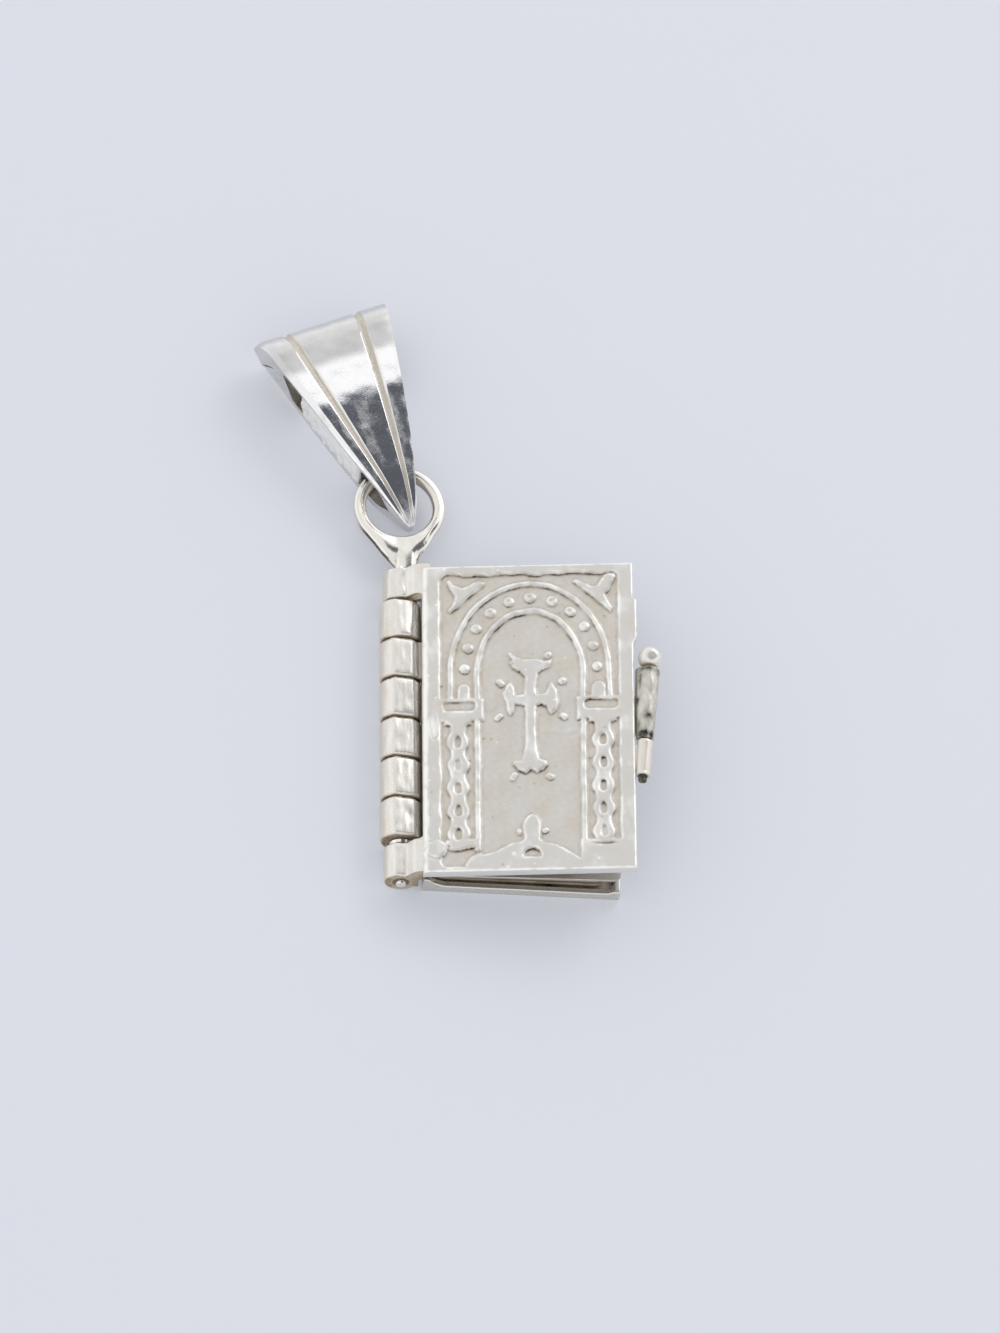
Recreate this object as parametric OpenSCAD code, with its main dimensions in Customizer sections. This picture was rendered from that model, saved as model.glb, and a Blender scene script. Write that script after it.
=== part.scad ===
// Silver book pendant: two hinged covers, four leaves, an eye with a ribbed bail, and a small fore-edge clasp.
// It lies on its back, with the hinge at -X, the bail at +Y and the front cover up. Sizes are in millimetres.

/* [Book] */
// Width of the front plate, from the spine edge to the fore-edge
plate_w = 10.4; // [9:0.1:12]
// Height of the front plate
plate_h = 17.25; // [15:0.25:20]
// Thickness of the front plate under its relief
plate_t = 0.5; // [0.3:0.02:0.52]
// Height of the cast relief
relief_t = 0.14; // [0.08:0.02:0.2]
// Thickness of the closed book
book_t = 2.34; // [2.3:0.02:2.8]
// Angle that the front cover stands open as it lies
open_deg = 8.8; // [4:0.2:12]
// How far the front plate reaches past the back cover at the fore-edge
overhang_x = 0.72; // [0.4:0.02:0.9]
// How far the front plate reaches past the back cover at the top and bottom
overhang_y = 0.22; // [0.1:0.02:0.4]

/* [Back cover] */
// Thickness of the back cover's floor
floor_t = 0.38; // [0.3:0.02:0.5]
// Height of the rim at the top, bottom and fore-edge
rim_h = 0.8; // [0.6:0.05:1]
// Width of the rim at the top and bottom
rim_w = 0.3; // [0.2:0.05:0.5]
// Width of the rim at the fore-edge
fore_rim_w = 0.7; // [0.4:0.05:0.9]

/* [Leaves] */
// Thickness of one leaf
leaf_t = 0.18; // [0.14:0.02:0.22]
// Height of the lowest leaf's underside
leaf_z = 0.5; // [0.46:0.02:0.6]
// Height from one leaf to the next in the closed book
leaf_pitch = 0.29; // [0.26:0.01:0.3]

/* [Hinge] */
// Radius of the pin
pin_r = 0.26; // [0.2:0.02:0.32]
// Clearance round the pin in each knuckle
pin_gap = 0.06; // [0.02:0.01:0.09]
// Radius of the knuckles of the back cover and leaves
knuckle_r = 1.05; // [0.9:0.05:1.1]
// Radius of the front cover's two knuckles
end_knuckle_r = 0.86; // [0.7:0.02:0.9]
// Top end of the uppermost knuckle
hinge_top = 8.92; // [8.7:0.02:9.1]
// Length of the uppermost knuckle with its gap
first_knuckle = 1.84; // [1.7:0.02:2.2]
// Length of each other knuckle with its gap
knuckle_pitch = 2.25; // [2.1:0.05:2.4]
// Gap between knuckles
knuckle_gap = 0.16; // [0.1:0.02:0.24]
// Gap above the lowest knuckle, where the pin shows
open_gap = 0.4; // [0.2:0.05:0.5]

/* [Eye] */
// Outer radius of the eye
eye_r = 2.33; // [2.2:0.01:2.5]
// Radius of the eye's opening
eye_hole_r = 1.7; // [1.6:0.02:1.9]
// Thickness of the eye
eye_t = 0.58; // [0.4:0.02:0.7]
// Height of the eye's centre along the hinge
eye_y = 12.78; // [12.3:0.02:13.1]
// Width of the neck where it meets the hinge
neck_w = 0.94; // [0.7:0.02:1.2]

/* [Bail] */
// Length of the bail from its tip to the top of its bend
bail_len = 12.2; // [10:0.1:13]
// Half width of the bail at the bend
bail_half_w = 3.52; // [3:0.02:3.8]
// Height of the bail's bend
bail_h = 2.9; // [2.6:0.05:3.2]
// Thickness of the bail's strip
bail_t = 0.32; // [0.28:0.02:0.34]
// Turn of the bail away from the hinge's line
bail_turn = 23.4; // [0:0.2:30]

/* [Clasp] */
// Radius of the clasp tube
tube_r = 0.4; // [0.35:0.01:0.45]
// Radius of the clasp pin
clasp_pin_r = 0.21; // [0.16:0.01:0.24]
// Radius of the clasp pin's ball head
ball_r = 0.57; // [0.45:0.01:0.65]
// Lean of the clasp away from the fore-edge
clasp_lean = 4.3; // [2:0.1:5]
// Angle that the hasp is swung out from its latched place
hasp_out = 11; // [10:0.5:20]

/* [Hidden] */
$fn = 64;
eps = 0.02;

// The hinge's axis is at x = 0 in every module below, and hinge_x moves it so that the back is centred
axis_z = 1.05;
spine_x = 1.34;
plate_mid = spine_x + plate_w / 2;
back_x1 = spine_x + plate_w - overhang_x;
back_y1 = plate_h / 2 - overhang_y;
back_x0 = knuckle_r + 0.1;
hinge_x = -(back_x0 + back_x1) / 2;
plate_z = book_t - relief_t - plate_t;

// Leaves: closed angle is 0, and each stands a little higher than the one below
leaf_x0 = 1.68;
leaf_x1 = back_x1 - fore_rim_w - 0.14;
leaf_y1 = back_y1 - rim_w - 0.14;
// The first leaf covers the tray's rim, and the others lie inside it
top_leaf_x1 = back_x1 - 0.07;
top_leaf_y1 = back_y1 - 0.06;
leaf_rest = [0, 0.5, 1.1, 1.8, 2.5];

// Knuckles are counted from 0 at the top: 0 and 7 are the front cover's, 1 and 6 the back's, 2 to 5 the leaves'
function knuckle_y1(i) = i == 0 ? hinge_top : hinge_top - first_knuckle - (i - 1) * knuckle_pitch;
function knuckle_y0(i) = knuckle_y1(i + 1) + knuckle_gap;
function knuckle_head(i) = knuckle_y1(i) - (i == 7 ? open_gap - knuckle_gap : 0);
pin_y0 = knuckle_y1(8) - 0.02;
neck_y = hinge_top + 0.12;

// Clasp: its frame has the pin along its Y, the fore-edge to -X and the closed cover's up as Z
tube_y0 = -3.4;
tube_y1 = -1.33;
hasp_y0 = -1.23;
hasp_y1 = 2.65;
clasp_x = spine_x + plate_w + tube_r + 0.06;
clasp_y = -1.98;
clasp_z = book_t - relief_t - 0.17;
hasp_r0 = 0.42;
hasp_r1 = 0.5;
hasp_t = 0.24;
hasp_leaf_y0 = -0.1;
hasp_leaf_y1 = 2.1;
lip_z = 0.14;
lip_gap = 0.1;
ledge_z = 0.52;
ledge_w = 0.36;

module place() {
    translate([hinge_x, 0, 0]) children();
}

module about_hinge(angle) {
    translate([0, 0, axis_z])
        rotate([0, -angle, 0])
            translate([0, 0, -axis_z])
                children();
}

// A cylinder along Y from y0 to y1
module rod(r, y0, y1) {
    translate([0, y1, 0])
        rotate([90, 0, 0])
            cylinder(r = r, h = y1 - y0);
}

module knuckle(i, r) {
    translate([0, 0, axis_z]) rod(r, knuckle_y0(i), knuckle_head(i));
}

module pin_bores(list) {
    for (i = list)
        translate([0, 0, axis_z])
            rod(pin_r + pin_gap, knuckle_y0(i) - eps, knuckle_head(i) + eps);
}

// A box that stays clear of the bore, from the knuckle's wall out to x1
module strap(i, x1, z0, z1) {
    translate([pin_r + 0.18, knuckle_y0(i), z0])
        cube([x1 - pin_r - 0.18, knuckle_head(i) - knuckle_y0(i), z1 - z0]);
}

// Back cover

module tray_outline(inset) {
    translate([back_x0, -back_y1 + inset])
        square([back_x1 - inset - back_x0, 2 * (back_y1 - inset)]);
}

// The hollow has round corners at the fore-edge and is open at the spine
module tray_hollow() {
    corner = 0.45;
    x1 = back_x1 - fore_rim_w;
    y1 = back_y1 - rim_w;
    translate([back_x0 - 1, -y1]) square([x1 - corner - back_x0 + 1, 2 * y1]);
    translate([back_x0 - 1, -y1 + corner]) square([x1 - back_x0 + 1, 2 * (y1 - corner)]);
    for (s = [-1, 1])
        translate([x1 - corner, s * (y1 - corner)]) circle(corner);
}

module back_cover() {
    color("silver") place() difference() {
        union() {
            difference() {
                linear_extrude(rim_h) tray_outline(0);
                translate([0, 0, floor_t]) linear_extrude(rim_h) tray_hollow();
            }
            for (i = [1, 6]) {
                knuckle(i, knuckle_r);
                strap(i, back_x0 + 0.4, eps, floor_t);
            }
            rim_rise();
            catch_ledge();
        }
        pin_bores([1, 6]);
    }
}

// Both end walls rise towards the spine, to close the gap beside the leaves
module rim_rise() {
    rise_len = 1.5;
    rise_h = 0.38;
    for (y = [rim_w - back_y1, back_y1])
        translate([0, y, 0]) rotate([90, 0, 0]) linear_extrude(rim_w)
            polygon([[back_x0, rim_h - 0.1], [back_x0 + rise_len, rim_h - 0.1], [back_x0 + rise_len, rim_h],
                     [back_x0 + 0.2, rim_h + rise_h], [back_x0, rim_h + rise_h]]);
}

// The ledge that the hasp hooks under, under the front plate's overhang
module catch_ledge() {
    translate([back_x1 - eps, hasp_leaf_y0 - 0.1, ledge_z])
        cube([ledge_w + eps, hasp_leaf_y1 - hasp_leaf_y0, rim_h - ledge_z]);
}

// Front cover and its relief. The relief's modules draw in the plate's plane, from its centre.

field_x0 = -4.47;
field_x1 = 4.43;
field_y0 = -8.35;
field_y1 = 8.1;
arch_y = 2.5;
capital_top = 1.1;
capital_foot = -0.2;
column_foot = -6.95;
pilaster_in = 2.42;
pilaster_out = 2.7;
link_pitch = 1.29;
link_first = -1.36;

// Beads of the arch: x, y, radius
BEADS = [[-3.25, 2.8, 0.25], [-3.1, 3.97, 0.25], [-2.67, 5.07, 0.25], [-1.96, 5.96, 0.25], [-1.03, 6.55, 0.25],
         [0.03, 6.78, 0.26], [1.13, 6.56, 0.25], [2.05, 5.93, 0.25], [2.74, 5.06, 0.25], [3.18, 3.97, 0.25],
         [3.36, 2.8, 0.25], [-3.32, 1.6, 0.3], [3.42, 1.6, 0.33]];

// Balls round the cross: x, y, radius
BALLS = [[0.9, 3.45, 0.17], [-1.52, 1.95, 0.2], [-1.6, 0.02, 0.19], [1.61, 2.0, 0.19], [1.61, 0.02, 0.18],
         [-0.88, -3.32, 0.18], [0.95, -3.38, 0.19], [-0.6, -6.48, 0.13], [0.7, -6.42, 0.14]];

CROSS = [[-1.08, 3.6], [-0.98, 3.66], [-0.86, 3.5], [-0.4, 3.27], [0.35, 3.24], [0.72, 3.1], [1.05, 3.2], [1.07, 3.04],
         [0.98, 2.8], [0.52, 2.6], [0.36, 2.4], [0.3, 1.6], [0.33, 1.26], [0.78, 1.3], [0.95, 1.88], [1.07, 1.93],
         [1.33, 1.5], [1.42, 0.75], [1.34, 0.4], [1.07, 0.14], [0.95, 0.24], [0.8, 0.57], [0.52, 0.7], [0.3, 0.6],
         [0.27, 0], [0.3, -1.8], [0.45, -2.42], [0.8, -2.5], [0.85, -2.7], [0.66, -2.98], [0.32, -3.18], [0.03, -2.98],
         [-0.26, -3.18], [-0.65, -2.98], [-0.88, -2.7], [-0.82, -2.5], [-0.45, -2.5], [-0.3, -1.8], [-0.25, 0],
         [-0.28, 0.58], [-0.5, 0.7], [-0.74, 0.7], [-0.84, 0.25], [-0.97, 0.08], [-1.12, 0.24], [-1.22, 0.85],
         [-1.41, 1.3], [-1.2, 1.75], [-0.97, 1.98], [-0.8, 1.7], [-0.74, 1.25], [-0.28, 1.25], [-0.21, 2.2],
         [-0.5, 2.57], [-0.85, 2.76], [-1.0, 3.08], [-0.84, 3.15]];

LEAF_LEFT = [[-4.13, 7.82], [-4.0, 7.84], [-3.86, 7.62], [-3.36, 7.38], [-2.82, 7.66], [-2.5, 7.76], [-2.22, 7.68],
             [-2.28, 7.5], [-3.0, 6.9], [-3.5, 6.35], [-4.02, 6.0], [-4.08, 6.15], [-3.76, 6.65], [-3.72, 6.9], [-4.03, 7.45]];
LEAF_RIGHT = [[2.18, 7.62], [2.3, 7.76], [2.9, 7.5], [3.15, 7.34], [3.4, 7.38], [3.72, 7.92], [4.0, 8.05], [4.3, 8.0],
              [4.36, 7.85], [4.04, 7.2], [3.8, 6.86], [4.14, 6.15], [4.08, 5.84], [3.6, 6.3], [3.0, 6.9], [2.35, 7.48]];
HILL = [[0.05, -5.45], [-0.15, -5.55], [-0.36, -5.9], [-0.43, -6.2], [-0.36, -6.85], [-0.5, -7.02], [-1.0, -7.1],
        [-1.75, -7.55], [-2.6, -7.7], [-3.2, -8.15], [-3.32, -8.45], [3.0, -8.45], [2.45, -8.0], [1.6, -7.42],
        [1.2, -7.18], [0.6, -7.05], [0.44, -6.85], [0.5, -6.2], [0.42, -5.85], [0.24, -5.55]];

module plate_outline() {
    square([plate_w, plate_h], center = true);
}

// The frame is wider at the lower right, where a slit is all that is left of the field
module frame_band() {
    corner = 0.35;
    difference() {
        plate_outline();
        translate([field_x0, field_y0]) square([field_x1 - field_x0, field_y1 - corner - field_y0]);
        translate([field_x0 + corner, 0]) square([field_x1 - field_x0 - 2 * corner, field_y1]);
        for (x = [field_x0 + corner, field_x1 - corner])
            translate([x, field_y1 - corner]) circle(corner);
    }
    translate([pilaster_in, -plate_h / 2]) difference() {
        square([plate_w / 2 - pilaster_in, plate_h / 2 + column_foot]);
        translate([0.6, plate_h / 2 - 7.32]) square([1.25, 0.14]);
    }
}

function arch_point(a, rx, ry) = [rx * cos(a), arch_y + ry * sin(a)];

// An upright arch with straight legs down to foot_y; the arch is half an ellipse
module arch_shape(rx, ry, foot_y) {
    polygon(concat([[rx, foot_y]], [for (a = [0 : 7.5 : 180]) arch_point(a, rx, ry)], [[-rx, foot_y]]));
}

module arch_band(rx, ry, w, foot_y) {
    difference() {
        arch_shape(rx, ry, foot_y);
        arch_shape(rx - w, ry - w, foot_y - 1);
    }
}

module dots(table) {
    for (row = table)
        translate([row[0], row[1]]) circle(row[2]);
}

// A capital over each column, with an oblong recess
module capital(s) {
    recess_w = 1.1;
    recess_h = 0.54;
    difference() {
        translate([s * 3.42, (capital_top + capital_foot) / 2])
            square([2.1, capital_top - capital_foot], center = true);
        translate([s * 3.55, 0.67]) {
            square([recess_w, recess_h], center = true);
            for (e = [-1, 1]) translate([e * recess_w / 2, 0]) circle(recess_h / 2);
        }
    }
}

// Chain of five links with upright holes, from the capital down to the column's foot
module chain_column() {
    link_r = 0.57;
    waist = 0.78;
    hole_r = 0.17;
    difference() {
        union() {
            for (i = [0 : 4])
                translate([0, link_first - i * link_pitch]) circle(link_r);
            translate([-waist / 2, column_foot]) square([waist, capital_foot - column_foot + 0.1]);
        }
        for (i = [0 : 4])
            translate([0, link_first - i * link_pitch]) {
                square([2 * hole_r, 0.26], center = true);
                for (e = [-0.13, 0.13]) translate([0, e]) circle(hole_r);
            }
    }
}

module relief() {
    frame_band();
    arch_band(4.12, 5.2, 0.27, capital_top);
    arch_band(2.8, 3.68, 0.31, -7.5);
    dots(BEADS);
    for (s = [-1, 1]) {
        capital(s);
        translate([s * 3.61, 0]) chain_column();
    }
    // Foot of the left column
    translate([-4.2, -7.35]) square([1.6, 0.4]);
    translate([-4.65, -7.5]) circle(0.45);
    polygon(LEAF_LEFT);
    polygon(LEAF_RIGHT);
    polygon(CROSS);
    dots(BALLS);
    difference() {
        polygon(HILL);
        intersection() {
            translate([0.04, -7.84]) circle(0.44);
            translate([-0.5, -7.8]) square([1.1, 0.5]);
        }
    }
}

// Wall under the plate that carries an end knuckle
module end_web(i) {
    translate([0, knuckle_head(i), 0])
        rotate([90, 0, 0])
            linear_extrude(knuckle_head(i) - knuckle_y0(i))
                polygon([[0.3, book_t - relief_t - 0.5], [0.5, book_t - relief_t - 0.04],
                         [0.7, book_t - relief_t], [spine_x + 0.3, book_t - relief_t],
                         [spine_x + 0.3, plate_z], [0.84, axis_z + 0.1], [0.6, axis_z]]);
}

module clasp_frame() {
    translate([clasp_x, clasp_y, clasp_z])
        rotate([0, 0, -clasp_lean])
            translate([0, -clasp_y, 0])
                children();
}

module clasp_tube() {
    clasp_frame() rod(tube_r, tube_y0, tube_y1);
    // Solder between the tube and the plate's edge
    translate([spine_x + plate_w - 0.1, tube_y0 + 0.25, clasp_z - 0.15])
        cube([0.24, tube_y1 - tube_y0 - 0.4, 0.3]);
}

module front_cover_closed() {
    difference() {
        union() {
            translate([plate_mid, 0, plate_z]) {
                linear_extrude(plate_t) plate_outline();
                translate([0, 0, plate_t - eps]) linear_extrude(relief_t + eps) relief();
            }
            for (i = [0, 7]) {
                knuckle(i, end_knuckle_r);
                end_web(i);
            }
            clasp_tube();
        }
        pin_bores([0, 7]);
        // Countersink round the pin's lower end
        translate([0, 0, axis_z]) rod(0.52, knuckle_y0(7) - eps, knuckle_y0(7) + 0.25);
        clasp_frame() rod(clasp_pin_r + 0.04, tube_y0 - eps, tube_y1 + eps);
    }
}

module front_cover() {
    color("gainsboro") place() about_hinge(open_deg) front_cover_closed();
}

// Leaves, counted from the top one

module leaf_outline(x1, y1) {
    corner = 0.45;
    translate([leaf_x0, -y1]) square([x1 - corner - leaf_x0, 2 * y1]);
    translate([leaf_x0, corner - y1]) square([x1 - leaf_x0, 2 * (y1 - corner)]);
    for (s = [-1, 1])
        translate([x1 - corner, s * (y1 - corner)]) circle(corner);
}

module leaf(n) {
    i = n + 1;
    z = leaf_z + (4 - n) * leaf_pitch;
    x1 = n == 1 ? top_leaf_x1 : leaf_x1;
    y1 = n == 1 ? top_leaf_y1 : leaf_y1;
    about_hinge(leaf_rest[5 - n]) difference() {
        union() {
            translate([0, 0, z]) linear_extrude(leaf_t) leaf_outline(x1, y1);
            knuckle(i, knuckle_r);
            strap(i, leaf_x0 + 0.1, z, z + leaf_t);
        }
        pin_bores([i]);
    }
}

// Hinge pin and eye

// Each row is a point's x, and its distance below the eye's centre, as shares of the eye's radius
NECK_LEFT = [[-0.73, 0.687], [-0.579, 0.876], [-0.358, 1.18], [-0.129, 1.451]];
NECK_RIGHT = [[0.373, 1.408], [0.421, 1.215], [0.609, 0.979], [0.773, 0.635]];

function eye_point(row) = [row[0] * eye_r, eye_y - row[1] * eye_r];

module eye_outline() {
    neck_x = 0.37;
    difference() {
        union() {
            translate([0, eye_y]) circle(eye_r);
            polygon(concat([for (row = NECK_LEFT) eye_point(row)],
                           [[neck_x - neck_w / 2, neck_y], [neck_x + neck_w / 2, neck_y]],
                           [for (row = NECK_RIGHT) eye_point(row)]));
        }
        translate([0, eye_y]) circle(eye_hole_r);
    }
}

module hinge_pin() {
    color("gainsboro") place() translate([0, 0, axis_z]) {
        rod(pin_r, pin_y0, neck_y + 0.3);
        translate([0, 0, -eye_t / 2]) linear_extrude(eye_t) eye_outline();
    }
}

// Bail. Its frame has the tip at the origin, the bend towards +Y and the floor at z = 0.

bail_tip_x = 0.6;
bail_tip_y = 11.6;
bail_bend_r = bail_h / 2;
tip_z = axis_z;
tip_half = 0.3;
bail_back_k = 0.84;
bail_wall_y0 = 4.3;
bail_wall_y1 = 8.3;

// Height of the bowed front panel: share of the length to the bend, share of the bend's height
FRONT_BOW = [[0.72, 0.975], [0.45, 0.9], [0.23, 0.8], [0.1, 0.655]];

// Side outline of the folded strip, from the tip to the bend, drawn in the plane of length and height
module bail_side(inset) {
    r = bail_bend_r - inset;
    y_bend = bail_len - bail_bend_r;
    translate([y_bend, bail_bend_r]) circle(r);
    polygon(concat([[inset * 2.2, tip_z - tip_half + inset * 0.6], [2.5 + inset * 0.2, inset],
                    [y_bend, inset], [y_bend, bail_h - inset]],
                   [for (row = FRONT_BOW) [row[0] * y_bend + inset * (0.6 - row[0] / 2), row[1] * bail_h - inset]],
                   [[inset * 2.2, tip_z + tip_half - inset * 0.6]]));
}

// Plan outline: the half width grows a little faster near the tip than near the bend
function bail_half(y) = 0.14 + (bail_half_w - 0.14) * pow(max(y, 0) / (bail_len - 0.4), 0.78);

module bail_plan(k, inset = 0) {
    steps = 8;
    ys = [for (i = [0 : steps]) bail_len * i / steps];
    half = [for (y = ys) max(k * bail_half(y) - inset, 0.03)];
    polygon(concat([for (i = [0 : steps]) [half[i], ys[i]]],
                   [for (i = [steps : -1 : 0]) [-half[i], ys[i]]]));
}

module bail_ring(outer_inset, inner_inset) {
    rotate([90, 0, 90]) translate([0, 0, -4]) linear_extrude(8) difference() {
        bail_side(outer_inset);
        bail_side(inner_inset);
    }
}

// Body that narrows from the front leg down to the back leg
module bail_taper(inset) {
    hull() {
        translate([0, 0, -0.02]) linear_extrude(0.02) bail_plan(bail_back_k, inset);
        translate([0, 0, bail_h]) linear_extrude(0.02) bail_plan(1, inset);
    }
}

// Side walls between the two legs, from clear of the eye up to the open loop
module bail_walls() {
    intersection() {
        rotate([90, 0, 90]) translate([0, 0, -4]) linear_extrude(8) intersection() {
            bail_side(0.1);
            translate([bail_wall_y0, 0]) square([bail_wall_y1 - bail_wall_y0, bail_h]);
        }
        difference() {
            bail_taper(0);
            bail_taper(bail_t);
        }
    }
}

// One groove of the front panel, from near the tip out to the bend
module groove(side) {
    y1 = bail_len + 0.5;
    u0 = 0.5 * bail_half(0.8);
    u1 = 0.54 * bail_half(y1);
    polygon([[side * u0, 0.8], [side * (u0 + 0.12), 0.8], [side * (u1 + 0.22), y1], [side * (u1 - 0.1), y1]]);
}

module bail() {
    color("whitesmoke") place()
        translate([bail_tip_x, bail_tip_y, 0])
            rotate([0, 0, bail_turn])
                difference() {
                    intersection() {
                        union() {
                            bail_ring(0, bail_t);
                            bail_walls();
                        }
                        bail_taper(0);
                    }
                    intersection() {
                        bail_ring(-0.2, 0.1);
                        translate([0, 0, tip_z + 0.2]) linear_extrude(4)
                            for (side = [-1, 1]) groove(side);
                    }
                }
}

// Clasp

module clasp_pin() {
    color("silver") place() about_hinge(open_deg) clasp_frame() {
        rod(clasp_pin_r, tube_y0 - 0.3, hasp_y1 + 0.5);
        translate([0, hasp_y1 + 0.12 + ball_r, 0]) sphere(ball_r);
    }
}

// The hasp's side outline, in the plane of X and Z from the pin, as it is when latched
module hasp_leaf() {
    drop = clasp_z - lip_z;
    lean_x = (hasp_leaf_y0 - clasp_y) * sin(clasp_lean);
    reach = (clasp_x + lean_x - back_x1 - lip_gap) / cos(clasp_lean);
    translate([-hasp_r0, -drop]) square([hasp_t, drop]);
    translate([-reach, -drop]) square([reach - hasp_r0 + hasp_t, hasp_t]);
}

module clasp_hasp() {
    color("gray") place() about_hinge(open_deg) clasp_frame() rotate([0, -hasp_out, 0]) difference() {
        union() {
            translate([0, hasp_y1, 0]) rotate([90, 0, 0])
                cylinder(r1 = hasp_r1, r2 = hasp_r0, h = hasp_y1 - hasp_y0);
            translate([0, hasp_leaf_y1, 0]) rotate([90, 0, 0])
                linear_extrude(hasp_leaf_y1 - hasp_leaf_y0) hasp_leaf();
        }
        rod(clasp_pin_r + 0.05, hasp_y0 - eps, hasp_y1 + eps);
    }
}

back_cover();
front_cover();
color("darkgray") place() leaf(1);  // leaf_1
color("darkgray") place() leaf(2);  // leaf_2
color("darkgray") place() leaf(3);  // leaf_3
color("darkgray") place() leaf(4);  // leaf_4
hinge_pin();
bail();
clasp_pin();
clasp_hasp();
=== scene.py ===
import math

import bmesh
import bpy
import numpy as np
from mathutils import Matrix, Vector


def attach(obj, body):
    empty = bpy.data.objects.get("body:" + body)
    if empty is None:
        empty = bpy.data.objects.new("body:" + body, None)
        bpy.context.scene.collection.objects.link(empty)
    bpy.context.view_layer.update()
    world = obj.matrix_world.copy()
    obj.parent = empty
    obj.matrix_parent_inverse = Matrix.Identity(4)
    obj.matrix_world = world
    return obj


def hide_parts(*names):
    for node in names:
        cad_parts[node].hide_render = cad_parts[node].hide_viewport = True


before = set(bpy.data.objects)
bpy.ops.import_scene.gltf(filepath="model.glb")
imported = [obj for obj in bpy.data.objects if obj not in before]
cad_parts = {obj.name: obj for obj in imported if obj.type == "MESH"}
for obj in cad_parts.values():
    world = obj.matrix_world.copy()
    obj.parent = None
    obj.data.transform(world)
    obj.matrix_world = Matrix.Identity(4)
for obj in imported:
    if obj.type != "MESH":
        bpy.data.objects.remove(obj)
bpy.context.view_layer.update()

HINGE_X = -6.085  # where the hinge pin stands in the shared frame
AXIS_Z = 1.05  # height of the hinge pin
ON_PIN = np.array([0, 0, AXIS_Z])
OPEN = math.radians(8.8)  # how far the front cover stands open
PLATE_MID, PLATE_W, PLATE_H = 6.54, 10.4, 17.25
HINGE_EDGE = 0.2  # how far the plate's worn edge reaches past its width, toward the hinge
RECESS_Z, PLATE_Z = 2.20, 1.70  # ground of the relief, and underside of the plate
RELIEF = 0.14
BACK_X0, BACK_X1, BACK_Y = 1.15, 11.02, 8.405
FLOOR_T, RIM_H = 0.38, 0.8
LEAF_X0, LEAF_Z, LEAF_T, LEAF_PITCH = 1.68, 0.5, 0.18, 0.29
BORE_R, KNUCKLE_R, END_KNUCKLE_R = 0.32, 1.05, 0.86
KNUCKLE_TOPS = [8.92, 7.08, 4.83, 2.58, 0.33, -1.92, -4.17, -6.42, -8.67]
KNUCKLE_GAP = 0.16
WIDE_GAP = 0.24  # how much more room there is above the lowest knuckle


def smooth(t):
    """From 0 to 1 with soft ends."""
    t = np.clip(t, 0, 1)
    return t * t * (3 - 2 * t)


def lumps(x, y, size, seed):
    """Soft lumps from about -1 to 1, that repeat over about size millimetres."""
    rng = np.random.default_rng(seed)
    total = 0
    for k in range(7):
        a = rng.uniform(0, math.tau)
        f = math.tau / size * rng.uniform(0.6, 1.5)
        total = total + np.sin(f * (x * math.cos(a) + y * math.sin(a)) + rng.uniform(0, math.tau))
    return total / 3.5


# Forms

class Form:
    """The skin of one piece. Each point has two marks from 0 to 1: tarnish, which is sulphide and also
    painted shade, and polish by wear, which on the cast cover also paints highlights.
    """

    def __init__(self):
        self.points, self.faces, self.metals, self.tarnish, self.polish = [], [], [], [], []
        self.count = 0

    def skin(self, rows, closed=False, tarnish=0.0, polish=0.0, metal=0):
        """Rows of points joined by four-sided faces. Closed rows run all the way round."""
        rows = np.asarray(rows, float)
        n, m = rows.shape[:2]
        ids = self.count + np.arange(n * m).reshape(n, m)
        here, beside = (ids, np.roll(ids, -1, 1)) if closed else (ids[:, :-1], ids[:, 1:])
        quads = np.stack([here[:-1], beside[:-1], beside[1:], here[1:]], -1).reshape(-1, 4)
        self.points.append(rows.reshape(-1, 3))
        self.faces += quads.tolist()
        self.metals += [metal] * len(quads)
        self.tarnish.append(np.broadcast_to(tarnish, (n, m)).ravel())
        self.polish.append(np.broadcast_to(polish, (n, m)).ravel())
        self.count += n * m
        return ids

    def end(self, ring, metal=0):
        self.faces.append([int(i) for i in ring])
        self.metals.append(metal)

    def lid(self, rows, **marks):
        """Closed rows with both ends covered."""
        ids = self.skin(rows, closed=True, **marks)
        for ring in (ids[0], ids[-1]):
            self.end(ring, marks.get("metal", 0))


def spun(points, angle, a=0, b=1):
    """Points turned about the origin, from axis a toward axis b."""
    p = np.array(points, float)
    along, aside = p[..., a].copy(), p[..., b].copy()
    p[..., a] = along * math.cos(angle) - aside * math.sin(angle)
    p[..., b] = along * math.sin(angle) + aside * math.cos(angle)
    return p


def piece(name, form, metals, body, nodes, turn=0.0, crease=38):
    """Makes one object of a form, turned about the hinge pin as far as its cover or leaf stands open."""
    points = spun(np.concatenate(form.points) - ON_PIN, turn, 0, 2) + ON_PIN + [HINGE_X, 0, 0]
    mesh = bpy.data.meshes.new(name)
    mesh.from_pydata((points * 0.001).tolist(), [], form.faces)
    for metal in metals:
        mesh.materials.append(metal)
    mesh.polygons.foreach_set("material_index", form.metals)
    skin = bmesh.new()
    skin.from_mesh(mesh)
    bmesh.ops.recalc_face_normals(skin, faces=skin.faces)
    skin.to_mesh(mesh)
    skin.free()
    for mark, values in (("tarnish", form.tarnish), ("polish", form.polish)):
        layer = mesh.attributes.new(mark, "FLOAT", "POINT")
        layer.data.foreach_set("value", np.concatenate(values).astype(np.float32))
    mesh.shade_smooth()
    mesh.set_sharp_from_angle(angle=math.radians(crease))
    made = bpy.data.objects.new(name, mesh)
    bpy.context.scene.collection.objects.link(made)
    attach(made, body)
    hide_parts(*nodes)


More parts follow.
